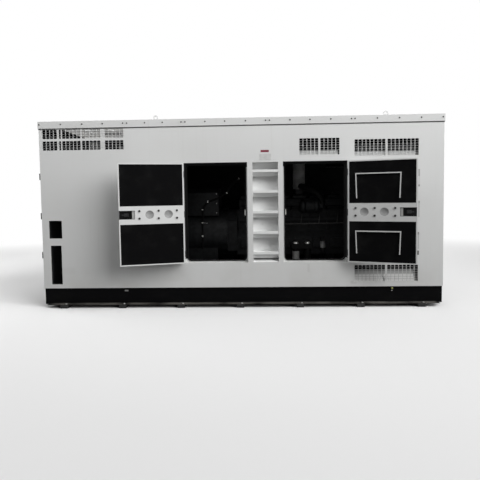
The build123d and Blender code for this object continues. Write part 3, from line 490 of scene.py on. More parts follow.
def frame_paint(name):
    """A white doorway rebate, black in the cut of its flange, and black along the hinge side and across the
    top as painted shade.
    """
    finish = Finish(name, "canopy_white")
    cut = finish.y.ramp(-0.9375, -0.9365)
    # Black along the hinge side and across the top is painted shade
    hinge_side = (1 - finish.x.ramp(-0.6900, -0.6895)).either(finish.x.ramp(1.3745, 1.3750))
    top = finish.z.ramp(1.846, 1.850)
    edge = (hinge_side * finish.z.between(0.645, 1.855, 0.010) + top).ramp(0.0, 1.0)
    black = cut.either(edge * finish.y.ramp(-0.9990, -0.9980))
    finish.colour(finish.shade(black, outer_paint(finish), FOAM_AND_SHADE_BLACK))
    finish.dull(PAINT_ROUGHNESS + black * 0.5)
    return finish


def step_paint(name):
    """White sheet, painted lighter inside the recess than on the pier as painted light, with patches of wear
    there.
    """
    finish = Finish(name, "canopy_white", roughness=PAINT_ROUGHNESS)
    inside = finish.y.ramp(-0.9995, -0.9975)
    wear = finish.noise(12.0, stretch=(1, 1, 3), detail=4.0).ramp(0.62, 0.76) * 0.35
    painted_light_inside = finish.shade(wear, STEP_PAINTED_LIGHT, WHITE_DUSTY)
    finish.colour(finish.shade(inside, outer_paint(finish), painted_light_inside))
    finish.relief(paint_grain(finish), GRAIN_DEPTH, GRAIN_STRENGTH)
    return finish


def sheet_with_painted_reflections(name):
    """Grey sheet with two bright strips that slant down to the right, which are painted reflections, and a
    black patch below them.
    """
    finish = Finish(name, "canopy_white", roughness=0.4)
    colour = finish.shade(finish.noise(9.0, detail=3.0).ramp(0.35, 0.65), SHEET_GREY, WHITE_DUSTY)
    # Two bright strips, painted reflections on the sheet
    for x, start, end in ((-2.010, -2.030, -1.925), (-1.690, -1.700, -1.630)):
        reflection = abs((finish.x - x) * 0.45 + (finish.z - 2.372)).ramp(0.014, 0.008)
        colour = finish.shade(reflection * finish.x.between(start, end, 0.010), colour, PAINTED_LIGHT_WHITE)
    patch = finish.x.between(-1.765, -1.540, 0.004) * finish.z.between(2.295, 2.321, 0.003)
    finish.colour(finish.shade(patch * 0.80, colour, FOAM_DUST))
    return finish


def filter_paint(name):
    """Filters on their head: the first can is grey, the head and the second can are black."""
    finish = Finish(name, "filter_grey", roughness=0.55, specular=0.08)
    grey = (1 - finish.z.ramp(0.652, 0.660)) * (1 - finish.x.ramp(0.870, 0.880))
    grime = finish.noise(14.0, detail=4.0).ramp(0.35, 0.75)
    body = finish.shade(grime, CANISTER_GREY, CANISTER_GRIME)
    finish.colour(finish.shade(grey, FILTER_BLACK, body))
    return finish


def air_filter_paint(name):
    """A grey upright housing, dull in patches, on a black foot."""
    finish = Finish(name, "filter_grey", roughness=0.5, specular=0.1)
    patches = finish.noise(6.0, detail=4.0).ramp(0.25, 0.75)
    housing = finish.shade(patches, HOUSING_GREY, HOUSING_DULL)
    finish.colour(finish.shade(finish.z.ramp(1.552, 1.556), FILTER_BLACK, housing))
    return finish


def roof_paint(name):
    """The roof's paint and lining, with painted bolt heads on the skirt of the right end."""
    finish = lined_wall(name, slot="roof_white", specular=0.1)
    along = (finish.y + 4 * END_HEAD_PITCH).to_and_fro(END_HEAD_PITCH / 2)
    across = abs(along - END_HEAD_PITCH / 2)
    rise = finish.z - SKIRT_BOLT_Z
    head = (across * across + rise * rise).ramp(SKIRT_BOLT_RADIUS ** 2, 0.0075 ** 2)
    finish.colour(finish.shade(head * finish.x.ramp(2.6390, 2.6395), finish.coat, DARK_BOLT))
    return finish


wall_finish = lined_wall("lined_white_wall", marks=FRONT_MARKS)
panel_finish = white_sheet("white_sheet")
roof_finish = roof_paint("lined_roof")
eye_finish = white_sheet("white_lifting_eye", slot="roof_white")
shut_door_finish = end_door_paint("shut_door_white")
baffle_finish = baffle_paint("grille_baffle")
frame_finish = frame_paint("doorway_frame_white")
step_finish = step_paint("step_white")
sheet_finish = sheet_with_painted_reflections("sheet_behind_grille")
# The dishes are painted darker than the bar as painted shade in the bowls
dish_finish = plain("dish_painted_shade", "canopy_white", DISH_SHADE_GREY, 0.5, change=0.08)
foam_finish = open_cell_foam("black_foam")
base_finish = base_paint("black_base")
bearer_finish = plain("dusty_bearer", "bearer_steel", BEARER_BLACK, 0.75, specular=0.3, change=0.35,
                      scale=9.0)
rubber_finish = plain("black_rubber", "seal_rubber", RUBBER_BLACK, 0.65, specular=0.12)
hinge_finish = plain("black_hinge", "hinge_black", HINGE_BLACK, 0.45, specular=0.3)
barrel_finish = plain("dull_hinge", "hinge_black", BARREL_BLACK, 0.85, specular=0.03)
lock_finish = plain("black_lock", "lock_black", LOCK_BLACK, 0.55, specular=0.12)
zinc_finish = plain("dull_zinc", "zinc_steel", ZINC, 0.38, metallic=0.85)
dark_bolt_finish = plain("dark_bolt", "zinc_steel", DARK_BOLT, 0.60, metallic=0.3, specular=0.3, scale=60.0)
light_bolt_finish = plain("light_bolt", "zinc_steel", LIGHT_BOLT, 0.45, metallic=0.4, scale=60.0)
brass_finish = plain("earth_brass", "earth_brass", BRASS, 0.45, metallic=0.3)
iron_finish = plain("dark_casting", "engine_iron", CASTING_BLACK, 0.6, specular=0.12, change=0.3)
machine_finish = plain("dark_machine_paint", "machine_grey", MACHINE_BLACK, 0.5, specular=0.12, change=0.25)
filter_finish = filter_paint("grey_canister")
air_filter_finish = air_filter_paint("air_filter_grey")
small_can_finish = plain("light_canister", "filter_grey", SMALL_CAN_GREY, 0.45, change=0.2)
core_finish = finned_core("radiator_core")
red_finish = plain("red_strip", "canopy_white", STRIP_RED, 0.45, change=0.08)
plate_finish = plain("pale_plate", "canopy_white", PLATE_GREY, 0.5, change=0.05)
strip_finish = plain("bare_strip", "zinc_steel", BARE_STRIP, 0.5, change=0.1)
tab_finish = plain("dull_tab", "zinc_steel", DULL_TAB, 0.6, change=0.1)
# Painted shadow: the dark strip under the roof's skirt
shadow_strip_finish = plain("painted_shadow_under_skirt", "seal_rubber", SHADOW_STRIP_GREY, 0.8, change=0.2)
hose_finish = plain("black_hose", "seal_rubber", RUBBER_BLACK, 0.6, specular=0.06)

FINISH_OF_SLOT = {
    "canopy_white": panel_finish, "roof_white": eye_finish, "base_black": base_finish,
    "bearer_steel": bearer_finish, "engine_iron": iron_finish, "machine_grey": machine_finish,
    "filter_grey": filter_finish, "core_aluminium": core_finish, "foam_black": foam_finish,
    "seal_rubber": rubber_finish, "hinge_black": hinge_finish, "lock_black": lock_finish,
    "zinc_steel": zinc_finish, "earth_brass": brass_finish,
}
FINISH_OF_NODE = {
    "front_wall_left": wall_finish, "front_wall_header": wall_finish, "front_wall_sill": wall_finish,
    "front_wall_right": wall_finish, "back_wall": wall_finish, "left_end_wall": wall_finish,
    "right_end_wall": wall_finish, "roof_panels": roof_finish, "back_doors": shut_door_finish,
    "left_end_door": shut_door_finish, "rain_baffles": baffle_finish,
    "door_frame_left": frame_finish, "door_frame_right": frame_finish,
    "step_recess": step_finish, "step_treads": step_finish, "air_filter": air_filter_finish,
}


def slot_of(node):
    """The record's slot of a CAD node, from the material it was packed with."""
    return next(slot for slot in FINISH_OF_SLOT for m in node.data.materials if m.name.startswith(slot))


for node_name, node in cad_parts.items():
    slot = slot_of(node)
    finish = FINISH_OF_NODE.get(node_name, FINISH_OF_SLOT[slot])
    node.data.materials.clear()
    node.data.materials.append(finish.material)


# Each leaf is drawn shut, its hinge at the origin, then turned to its place; the right one is mirrored
LEFT_LEAF = Matrix.Translation(LEFT_HINGE) @ Matrix.Rotation(math.radians(LEFT_SWING), 4, "Z")
RIGHT_LEAF = (Matrix.Translation(RIGHT_HINGE) @ Matrix.Rotation(math.radians(RIGHT_SWING), 4, "Z")
              @ Matrix.Scale(-1, 4, (1, 0, 0)))
LEAVES = (("left", LEFT_LEAF, "left_door"), ("right", RIGHT_LEAF, "right_door"))
OUT_FRONT = Vector((0, -1, 0))
OUT_BACK = Vector((0, 1, 0))
OUT_LEFT = Vector((-1, 0, 0))
OUT_RIGHT = Vector((1, 0, 0))
UP = Vector((0, 0, 1))

# Points closer than this are one
MERGE = 0.00001


def add_object(name, data):
    made = bpy.data.objects.new(name, data)
    bpy.context.collection.objects.link(made)
    return made


def place(name, bm, finish, body="canopy", matrix=None, stands_for=(), smooth=None):
    """Makes a finished piece from a bmesh; smooth is the angle above which an edge stays sharp."""
    if matrix is not None:
        bmesh.ops.transform(bm, matrix=matrix, verts=bm.verts)
    bmesh.ops.recalc_face_normals(bm, faces=bm.faces)
    mesh = bpy.data.meshes.new(name)
    bm.to_mesh(mesh)
    bm.free()
    if smooth:
        mesh.polygons.foreach_set("use_smooth", [True] * len(mesh.polygons))
        mesh.set_sharp_from_angle(angle=math.radians(smooth))
    mesh.materials.append(finish.material)
    piece = add_object(name, mesh)
    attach(piece, body)
    if stands_for:
        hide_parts(*stands_for)


def join(bm, fresh):
    """Moves one bmesh into another."""
    mesh = bpy.data.meshes.new("part_in_hand")
    fresh.to_mesh(mesh)
    fresh.free()
    bm.from_mesh(mesh)
    bpy.data.meshes.remove(mesh)


def split(bm, where, across, clear_inner=False):
    """Splits a bmesh along a plane, and can take away what lies behind the plane."""
    everything = bm.verts[:] + bm.edges[:] + bm.faces[:]
    return bmesh.ops.bisect_plane(bm, geom=everything, dist=MERGE, plane_co=where, plane_no=across,
                                  clear_inner=clear_inner)


def block(bm, low, high, ease=0.0):
    """A block between two corners, with its edges eased."""
    low, high = Vector(low), Vector(high)
    size = high - low
    matrix = Matrix.Translation((low + high) / 2) @ Matrix.Diagonal((*size, 1))
    made = bmesh.ops.create_cube(bm, size=1, matrix=matrix)
    if ease:
        edges = list(dict.fromkeys(edge for v in made["verts"] for edge in v.link_edges))
        bmesh.ops.bevel(bm, geom=edges, offset=ease, segments=2, profile=0.5, affect="EDGES", material=-1)


def facing(centre, outward):
    """The placing that turns +Z to the outward direction at a point."""
    turn = UP.rotation_difference(Vector(outward)).to_matrix().to_4x4()
    return Matrix.Translation(Vector(centre)) @ turn


def can(bm, start, outward, radius, length, sides=24):
    """A round bar from a point along a direction."""
    stand = facing(start, outward) @ Matrix.Translation((0, 0, length / 2))
    bmesh.ops.create_cone(bm, cap_ends=True, segments=sides, radius1=radius, radius2=radius, depth=length,
                          matrix=stand)


def bolt(bm, centre, outward, radius, height, sides=6):
    """A bolt head on its washer, standing on a face."""
    stand = facing(centre, outward)
    for low, high, r1, r2, count in ((-0.001, height * 0.3, radius * 1.12, radius * 1.08, 12),
                                     (0.0, height, radius, radius * 0.88, sides)):
        lift = stand @ Matrix.Translation((0, 0, (low + high) / 2))
        bmesh.ops.create_cone(bm, cap_ends=True, segments=count, radius1=r1, radius2=r2,
                              depth=high - low, matrix=lift)


def turned(bm, outline, centre, outward, steps=32):
    """An outline of (radius, height) points turned round an axis: closed from axis to axis, or a band."""
    fresh = bmesh.new()
    verts = [fresh.verts.new((radius, 0, height)) for radius, height in outline]
    edges = [fresh.edges.new(pair) for pair in zip(verts, verts[1:])]
    bmesh.ops.spin(fresh, geom=verts + edges, axis=(0, 0, 1), cent=(0, 0, 0), dvec=(0, 0, 0),
                   angle=2 * math.pi, steps=steps, use_merge=True)
    bmesh.ops.remove_doubles(fresh, verts=fresh.verts, dist=MERGE)
    bmesh.ops.transform(fresh, matrix=facing(centre, outward), verts=fresh.verts)
    join(bm, fresh)


def hose(bm, points, radius, roundness=2):
    """A smooth round run through the points, closed at both ends."""
    curve = bpy.data.curves.new("run_in_hand", "CURVE")
    curve.dimensions = "3D"
    curve.bevel_depth = radius
    curve.bevel_resolution = roundness
    curve.use_fill_caps = True
    curve.resolution_u = 6
    spline = curve.splines.new("NURBS")
    spline.points.add(len(points) - 1)
    for point, where in zip(spline.points, points):
        point.co = (*where, 1)
    spline.order_u = 4
    spline.use_endpoint_u = True
    run = add_object("run_in_hand", curve)
    bpy.context.view_layer.update()
    mesh = bpy.data.meshes.new_from_object(run.evaluated_get(bpy.context.evaluated_depsgraph_get()))
    bpy.data.objects.remove(run)
    bpy.data.curves.remove(curve)
    bm.from_mesh(mesh)
    bpy.data.meshes.remove(mesh)


# Punched grilles

def hole_spans(groups, start, bar):
    """Where each hole starts and ends along one side, a bar's width apart, with ribs between groups."""
    spans = []
    for count, pitch, rib in groups:
        spans += [(start + i * pitch + bar / 2, start + (i + 1) * pitch - bar / 2) for i in range(count)]
        start += count * pitch + rib
    return spans


def in_a_span(value, spans):
    return any(low < value < high for low, high in spans)


def punched_plate(bm, grille, face_y, inward):
    """A plate with rows of rounded oblong holes, its face at face_y and its back towards inward."""
    spans_x = hole_spans(grille.columns, grille.x, COLUMN_BAR)
    spans_z = hole_spans(grille.rows, grille.z, ROW_BAR)
    half_width, half_height = grille.width / 2, grille.height / 2
    outer = (Matrix.Translation((grille.x + half_width, face_y, grille.z + half_height))
             @ Matrix.Diagonal((half_width + GRILLE_BORDER, 1, half_height + GRILLE_BORDER, 1))
             @ Matrix.Rotation(math.radians(90), 4, "X"))
    fresh = bmesh.new()
    bmesh.ops.create_grid(fresh, x_segments=1, y_segments=1, size=1, matrix=outer)
    for x in (edge for span in spans_x for edge in span):
        split(fresh, (x, 0, 0), (1, 0, 0))
    for z in (edge for span in spans_z for edge in span):
        split(fresh, (0, 0, z), (0, 0, 1))

    def hole_faces():
        middles = [(face, face.calc_center_median()) for face in fresh.faces]
        return [face for face, middle in middles
                if in_a_span(middle.x, spans_x) and in_a_span(middle.z, spans_z)]

    corners = list(dict.fromkeys(v for face in hole_faces() for v in face.verts))
    bmesh.ops.bevel(fresh, geom=corners, offset=HOLE_CORNER, segments=1, profile=0.5, affect="VERTICES",
                    material=-1)
    corner_area = HOLE_CORNER * HOLE_CORNER
    punched_out = [face for face in hole_faces() if face.calc_area() > corner_area]
    bmesh.ops.delete(fresh, geom=punched_out, context="FACES")
    bmesh.ops.recalc_face_normals(fresh, faces=fresh.faces)
    made = bmesh.ops.extrude_face_region(fresh, geom=fresh.faces[:])
    moved = [g for g in made["geom"] if isinstance(g, bmesh.types.BMVert)]
    bmesh.ops.translate(fresh, verts=moved, vec=(0, inward * GRILLE_PLATE, 0))
    bmesh.ops.recalc_face_normals(fresh, faces=fresh.faces)
    join(bm, fresh)


for node_name, grille in FRONT_GRILLES.items():
    work = bmesh.new()
    punched_plate(work, grille, FRONT_Y, 1)
    place("punched_" + node_name, work, panel_finish, stands_for=(node_name,))
work = bmesh.new()
for grille in BACK_GRILLES:
    punched_plate(work, grille, BACK_Y, -1)
place("punched_grilles_back", work, panel_finish, stands_for=("back_grilles",))

# A pale sheet slants across behind the upper rows of the left grille
work = bmesh.new()
block(work, (-2.330, -0.9930, 2.236), (-1.505, -0.9905, 2.376))
cut = split(work, (-2.041, 0, 2.266), (0.354, 0, 0.935), clear_inner=True)
rim = [g for g in cut["geom_cut"] if isinstance(g, bmesh.types.BMEdge)]
bmesh.ops.holes_fill(work, edges=rim, sides=0)
place("sheet_behind_left_grille", work, sheet_finish)

work = bmesh.new()
for grille in BACK_GRILLES:
    block(work, (grille.x - BAFFLE_BORDER, 0.958, grille.z - BAFFLE_BORDER),
          (grille.x + grille.width + BAFFLE_BORDER, 0.962, grille.z + grille.height + BAFFLE_BORDER))
place("back_grille_baffles", work, foam_finish)


# Roof: bolts through the skirt, a dark strip under it that is painted shadow, and strips over the seams

work = bmesh.new()
for side in (-1, 1):
    for x in SKIRT_BOLTS:
        bolt(work, (x * SKIRT_BOLT_SPREAD, side * SKIRT_FACE, SKIRT_BOLT_Z), (0, side, 0),
             SKIRT_BOLT_RADIUS, SKIRT_BOLT_HEIGHT)
for y in END_SKIRT_BOLTS:
    bolt(work, (-HALF_LENGTH - 0.008, y, SKIRT_BOLT_Z), OUT_LEFT, SKIRT_BOLT_RADIUS, SKIRT_BOLT_HEIGHT)
place("roof_skirt_bolts", work, dark_bolt_finish)

# A dark strip round the walls just under the skirt is painted shadow, the skirt's shadow line
work = bmesh.new()
shadow_strip_y = BACK_Y + SHADOW_STRIP_THICKNESS
for side in (-1, 1):
    block(work, (-HALF_LENGTH, side * BACK_Y, SHADOW_STRIP_LOW), (HALF_LENGTH, side * shadow_strip_y, SHADOW_STRIP_HIGH))
for side in (-1, 1):
    block(work, (side * HALF_LENGTH, -shadow_strip_y, SHADOW_STRIP_LOW),
          (side * (HALF_LENGTH + SHADOW_STRIP_THICKNESS), shadow_strip_y, SHADOW_STRIP_HIGH))
place("painted_shadow_under_skirt", work, shadow_strip_finish)

work = bmesh.new()
for x in ROOF_SEAMS:
    block(work, (x - SEAM_HALF_WIDTH, -0.985, ROOF_TOP), (x + SEAM_HALF_WIDTH, 0.985, ROOF_TOP + 0.004),
          0.001)
place("roof_seam_strips", work, eye_finish)


# Door leaves: bolts and dishes of the lock bar, the latch in its pocket, and the paddle outside

for side, matrix, body in LEAVES:
    work = bmesh.new()
    for x in BAR_BOLTS:
        for rise in (-BAR_BOLT_RISE, BAR_BOLT_RISE):
            bolt(work, (x, LEAF_INNER_FACE, LOCK_BAR_Z + rise), OUT_BACK, 0.0130, 0.009, sides=12)
    place(f"{side}_lock_bar_bolts", work, dark_bolt_finish, body, matrix)

    # Each bowl is a piece of a large ball
    work = bmesh.new()
    ball = (DISH_RADIUS ** 2 + DISH_DEPTH ** 2) / (2 * DISH_DEPTH)
    bowl = [(r, ball - DISH_DEPTH - math.sqrt(ball ** 2 - r ** 2)) for r in BOWL_RINGS]
    bowl += [(DISH_RADIUS, -DISH_DEPTH - 0.001), (0.0, -DISH_DEPTH - 0.001)]
    for x in DISHES:
        turned(work, bowl, (x, LEAF_INNER_FACE, LOCK_BAR_Z), OUT_BACK)
    place(f"{side}_lock_bar_dishes", work, dish_finish, body, matrix, smooth=40)

    work = bmesh.new()
    block(work, (POCKET_START + 0.0035, 0.0300, LOCK_BAR_Z - POCKET_HALF_HEIGHT),
          (POCKET_START + 0.0350, 0.0560, LOCK_BAR_Z + POCKET_HALF_HEIGHT), 0.002)
    place(f"{side}_latch_cover", work, strip_finish, body, matrix)

    work = bmesh.new()
    block(work, (0.706, 0.0500, LOCK_BAR_Z - 0.020), (0.757, 0.0580, LOCK_BAR_Z + 0.020), 0.002)
    can(work, (0.730, 0.0560, LOCK_BAR_Z), OUT_BACK, 0.010, 0.005)
    block(work, (0.757, 0.0440, LOCK_BAR_Z - 0.008), (0.786, 0.0520, LOCK_BAR_Z + 0.008), 0.002)
    place(f"{side}_latch_bolt", work, hinge_finish, body, matrix)

    # The paddle lies in a recess of the plate outside, with a keyed barrel beside it
    work = bmesh.new()
    block(work, (LOCK_X - 0.039, 0.0085, LOCK_BAR_Z - 0.022), (LOCK_X + 0.021, 0.0115, LOCK_BAR_Z + 0.022),
          0.001)
    can(work, (LOCK_X + 0.035, 0.0118, LOCK_BAR_Z), OUT_FRONT, 0.008, 0.0028)
    place(f"{side}_paddle", work, zinc_finish, body, matrix)


# Paddles and keyed barrels of the shut doors at the back and the left end

work = bmesh.new()
for x in (LEFT_HINGE[0] + LOCK_X, RIGHT_HINGE[0] - LOCK_X):
    block(work, (x - PADDLE_HALF_WIDTH, BACK_Y + PADDLE_FOOT, LOCK_BAR_Z - PADDLE_HALF_HEIGHT),
          (x + PADDLE_HALF_WIDTH, BACK_Y + PADDLE_FACE, LOCK_BAR_Z + PADDLE_HALF_HEIGHT), 0.001)
    can(work, (x, BACK_Y + KEY_FOOT, LOCK_BAR_Z - KEY_DROP), OUT_BACK, KEY_RADIUS, KEY_LENGTH)
end_lock_y = FRONT_Y + 0.080 + LOCK_X
block(work, (-HALF_LENGTH - PADDLE_FACE, end_lock_y - PADDLE_HALF_WIDTH, LOCK_BAR_Z - PADDLE_HALF_HEIGHT),
      (-HALF_LENGTH - PADDLE_FOOT, end_lock_y + PADDLE_HALF_WIDTH, LOCK_BAR_Z + PADDLE_HALF_HEIGHT), 0.001)
can(work, (-HALF_LENGTH - KEY_FOOT, end_lock_y, LOCK_BAR_Z - KEY_DROP), OUT_LEFT, KEY_RADIUS, KEY_LENGTH)
place("shut_door_paddles", work, zinc_finish)

# Hinge barrels of the end door, at the corner
work = bmesh.new()
for z in HINGE_HEIGHTS:
    can(work, (-HALF_LENGTH - 0.0085, END_DOOR_HINGE_Y, z - 0.042), UP, 0.0085, 0.084, 12)
    block(work, (-HALF_LENGTH - 0.0040, END_DOOR_HINGE_Y, z - 0.040),
          (-HALF_LENGTH + 0.0005, -0.9300, z + 0.040))
place("end_door_hinge_barrels", work, barrel_finish, smooth=50)


# Base: a bolt at each end of a bearer and one in the rail, and a small tab on the rail

work = bmesh.new()
for x in BEARER_BOLTS:
    for side in (-1, 1):
        bolt(work, (x, side * 1.014, 0.046), UP, 0.013, 0.016)
bolt(work, (1.985, -0.976, 0.205), OUT_FRONT, 0.007, 0.006)
place("base_bolts", work, light_bolt_finish)

work = bmesh.new()
block(work, (-1.552, -0.9800, 0.214), (-1.502, -0.9755, 0.234), 0.002)
place("base_rail_tab", work, tab_finish)


# The red strip and the pale plate on the wall between the doorways

work = bmesh.new()
block(work, (0.288, -1.0022, 2.033), (0.394, -0.9995, 2.060), 0.0006)
place("red_strip_on_wall", work, red_finish)
work = bmesh.new()
block(work, (0.272, -1.0018, 1.930), (0.422, -0.9995, 2.010), 0.0005)
place("pale_plate_on_wall", work, plate_finish)


# Engine: what shows in the doorways and through the grilles

work = bmesh.new()
for x in HEADS:
    for dx in (-0.085, 0.085):
        for y in (-0.125, 0.125):
            bolt(work, (x + dx, y, 1.4545), UP, 0.009, 0.010)
        bolt(work, (x + dx, -0.2100, 1.3300), OUT_FRONT, 0.010, 0.010)
    turned(work, OIL_CAP, (x, 0.0, 1.480), UP, 16)
place("rocker_cover_bolts", work, dark_bolt_finish)

work = bmesh.new()
for x in HEADS:
    block(work, (x - 0.095, SIDE_COVER_FACE, 0.700), (x + 0.095, -0.350, 0.835), 0.006)
    for dx in (-0.082, 0.082):
        for z in (0.713, 0.822):
            bolt(work, (x + dx, SIDE_COVER_FACE, z), OUT_FRONT, 0.008, 0.008)
block(work, (-0.04, -0.302, 1.085), (1.54, -0.270, 1.135), 0.006)
for x in HEAD_RIBS:
    block(work, (x - 0.010, -0.296, 0.960), (x + 0.010, -0.268, 1.245), 0.004)
place("engine_side_covers", work, iron_finish)

# A fuel pipe along the block, and one from it to each head
work = bmesh.new()
hose(work, ((0.06, -0.320, 1.05), (0.40, -0.330, 1.045), (0.80, -0.325, 1.04), (1.20, -0.330, 1.045),
            (1.50, -0.322, 1.05)), 0.012)
for x in HEADS:
    hose(work, ((x, -0.325, 1.045), (x + 0.01, -0.335, 1.12), (x + 0.03, -0.300, 1.20),
                (x + 0.03, -0.250, 1.27), (x + 0.02, -0.205, 1.31)), 0.006, roundness=1)
place("fuel_pipes", work, dark_bolt_finish, smooth=50)

# Turbocharger: a turned housing on each side of its middle, and the elbow from the air filter
work = bmesh.new()
turned(work, COMPRESSOR, (1.045, TURBO_Y, TURBO_Z), OUT_RIGHT, 28)
turned(work, TURBINE, (0.945, TURBO_Y, TURBO_Z), OUT_LEFT, 28)
place("turbo_housings", work, machine_finish, smooth=50)

work = bmesh.new()
hose(work, ((AIR_FILTER_X, AIR_FILTER_Y, 1.60), (0.90, -0.20, 1.60), (1.00, -0.33, 1.56),
            (1.16, -0.39, 1.47), (1.190, -0.385, 1.36), (1.178, TURBO_Y, TURBO_Z)), 0.048, roundness=4)
place("intake_elbow", work, hose_finish, smooth=50)

# Clamp bands round the air filter
work = bmesh.new()
for z in (1.600, 1.985):
    turned(work, AIR_FILTER_BAND, (AIR_FILTER_X, AIR_FILTER_Y, z), UP, 40)
place("air_filter_bands", work, strip_finish, smooth=50)

# Bright caps on the filter head, and the small filter beside it
work = bmesh.new()
for x in (0.794, 0.965):
    turned(work, FILTER_CAP, (x, -0.425, 0.767), UP, 24)
place("filter_caps", work, zinc_finish, smooth=50)
work = bmesh.new()
can(work, (1.185, -0.410, 0.797), -UP, 0.0368, 0.095, 32)
place("small_filter_can", work, small_can_finish, smooth=50)

# Alternator: bolts of its terminal box, and covers round both ends and over the box
work = bmesh.new()
for dx in (-0.27, 0.27):
    for z in (1.22, 1.36, 1.50):
        bolt(work, (ALTERNATOR_X + dx, ALTERNATOR_FACE, z), OUT_FRONT, 0.007, 0.006)
for i in range(3):
    bolt(work, (-0.563 + 0.03 * i, -0.345, 1.0745 - 0.004 * i), (0, -0.86, 0.51), 0.007, 0.008)
bolt(work, (-0.485, ALTERNATOR_FACE, 1.392), OUT_FRONT, 0.012, 0.014)
bolt(work, (-0.563, -0.400, ALTERNATOR_AXIS_Z), OUT_FRONT, 0.012, 0.010)
place("alternator_bolts", work, light_bolt_finish)

work = bmesh.new()
for i in range(11):
    angle = math.radians(105 + 15 * i)
    for x in (-0.97, -0.25):
        turn = Matrix.Translation((x, 0, ALTERNATOR_AXIS_Z)) @ Matrix.Rotation(angle - math.pi / 2, 4, "X")
        fresh = bmesh.new()
        block(fresh, (-0.045, -0.018, 0.398), (0.045, 0.018, 0.404), 0.001)
        bmesh.ops.transform(fresh, matrix=turn, verts=fresh.verts)
        join(work, fresh)
block(work, (-0.90, -0.3335, 1.205), (-0.36, -0.328, 1.500), 0.002)
place("alternator_covers", work, machine_finish)

# The loom from the engine to the terminal box, held by clips
work = bmesh.new()
hose(work, ((0.13, -0.20, 1.44), (0.09, -0.26, 1.56), (-0.02, -0.30, 1.735), (-0.12, -0.30, 1.64),
            (-0.22, -0.31, 1.50), (-0.32, -0.33, 1.44), (-0.40, -0.350, 1.41), (-0.50, -0.350, 1.38),
            (-0.56, -0.355, 1.29), (-0.565, -0.365, 1.10), (-0.565, -0.405, 0.90),
            (-0.565, -0.39, 0.70)), 0.014)
place("wiring_loom", work, hose_finish, smooth=50)
work = bmesh.new()
for x, y, z, tilt in ((-0.022, -0.307, 1.722, 30), (-0.205, -0.312, 1.512, 45), (-0.485, -0.352, 1.383, 20),
                      (-0.563, -0.359, 1.270, 90), (-0.565, -0.384, 1.080, 90), (-0.565, -0.407, 0.890, 90)):
    lean = math.radians(tilt)
    turned(work, LOOM_CLIP, (x, y, z), (math.cos(lean), 0, math.sin(lean)), 14)
place("loom_clips", work, zinc_finish, smooth=50)

# Coolant hoses between the radiator and the engine
work = bmesh.new()
hose(work, ((1.58, -0.12, 1.50), (1.66, -0.16, 1.60), (1.74, -0.24, 1.72), (1.80, -0.30, 1.76),
            (1.86, -0.33, 1.765)), 0.036, roundness=4)
hose(work, ((1.60, 0.20, 0.75), (1.66, 0.30, 0.62), (1.74, 0.42, 0.50), (1.80, 0.50, 0.44),
            (1.86, 0.52, 0.435)), 0.036, roundness=4)
place("coolant_hoses", work, hose_finish, smooth=50)


# Camera at the photograph's viewing angle; the turn gives its right, forward and up directions

turn_x, turn_y, turn_z = (Matrix.Rotation(math.radians(angle), 3, axis)
                          for angle, axis in zip(CAMERA_TURN, "XYZ"))
right, forward, up = turn_z @ turn_x @ turn_y
camera_data = bpy.data.cameras.new("photo_camera")
camera_data.lens = LENS
camera_data.sensor_width = SENSOR
camera_data.shift_y = FRAME_SHIFT
camera_data.clip_end = FAR_LIMIT
camera = add_object("photo_camera", camera_data)
camera.matrix_world = Matrix.Translation(CAMERA_PLACE) @ Matrix((right, up, -forward)).transposed().to_4x4()
bpy.context.scene.camera = camera


# Pale floor that fades into a white surround

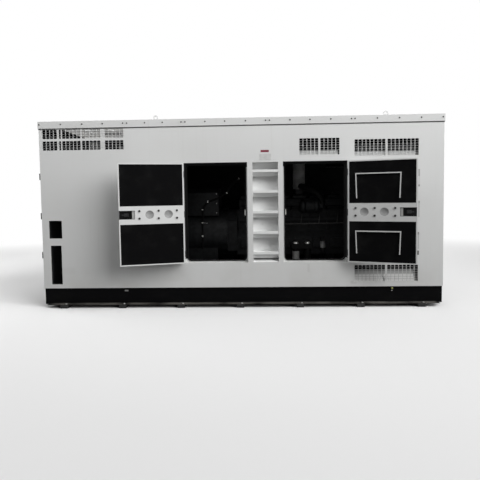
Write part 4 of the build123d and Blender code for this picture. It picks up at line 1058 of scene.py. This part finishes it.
floor_finish = Finish("pale_floor", "floor", roughness=0.9, specular=0.1)
seen = floor_finish.sight()
floor_finish.colour(floor_finish.shade(seen, FLOOR_LIT, FLOOR_SEEN))
glow = floor_finish.node("ShaderNodeEmission", None, {"Color": PURE_WHITE, "Strength": 1.0})
away = (floor_finish.x * floor_finish.x * 0.35 + floor_finish.y * floor_finish.y).ramp(9.0, 60.0)
painted = Signal(floor_finish, floor_finish.shader.outputs[0])
faded = floor_finish.blend(away * seen, painted, glow)
floor_finish.feed(floor_finish.tree.nodes["Material Output"], {"Surface": faded})
work = bmesh.new()
bmesh.ops.create_grid(work, x_segments=1, y_segments=1, size=FLOOR_HALF_SIZE)
floor_mesh = bpy.data.meshes.new("studio_floor")
work.to_mesh(floor_mesh)
work.free()
floor_mesh.materials.append(floor_finish.material)
floor = add_object("studio_floor", floor_mesh)


# Soft light from above and the right, and a quiet surround

def shining(direction):
    """The turn of a lamp that shines in a direction."""
    return direction.to_track_quat("-Z", "Y").to_matrix().to_4x4()


def soft_lamp(name, size, where, aim, power, glossy=True):
    lamp = bpy.data.lights.new(name, "AREA")
    lamp.shape = "RECTANGLE"
    lamp.size, lamp.size_y = size
    lamp.energy = power
    holder = add_object(name, lamp)
    holder.visible_glossy = glossy
    holder.matrix_world = Matrix.Translation(where) @ shining(Vector(aim) - Vector(where))


soft_lamp("overhead_front", size=(8.0, 1.2), where=(0.0, -3.1, 4.5), aim=(0.0, -1.0, 2.1), power=94.0)
soft_lamp("high_right", size=(3.0, 2.5), where=(6.9, -4.2, 5.6), aim=(0.8, -1.0, 1.4), power=195.0)
soft_lamp("overhead_back", size=(8.0, 2.5), where=(0.0, 6.0, 3.4), aim=(0.0, 1.0, 1.4), power=240.0,
          glossy=False)
soft_lamp("left_end_fill", size=(3.0, 3.0), where=(-7.5, 0.5, 3.5), aim=(-2.6, 0.0, 1.2), power=170.0)

sun_data = bpy.data.lights.new("side_light", "SUN")
sun_data.energy = SIDE_LIGHT_POWER
sun_data.angle = math.radians(SIDE_LIGHT_SPREAD)
sun = add_object("side_light", sun_data)
sun.visible_glossy = False
bearing = math.radians(SIDE_LIGHT_BEARING)
sun.matrix_world = shining(-Vector((math.sin(bearing), -math.cos(bearing), SIDE_LIGHT_SLOPE)))

world = bpy.data.worlds.new("studio_surround")
world.use_nodes = True
bpy.context.scene.world = world
surround = Nodes(world.node_tree)
surround.tree.nodes.clear()
soft = surround.node("ShaderNodeBackground", None, {"Color": PURE_WHITE, "Strength": SURROUND_LIGHT})
white = surround.node("ShaderNodeBackground", None, {"Color": PURE_WHITE, "Strength": 1.0})
chosen = surround.blend(surround.sight(), soft, white)
surround.node("ShaderNodeOutputWorld", None, {"Surface": chosen}, out=())

bpy.context.scene.view_settings.view_transform = "Standard"
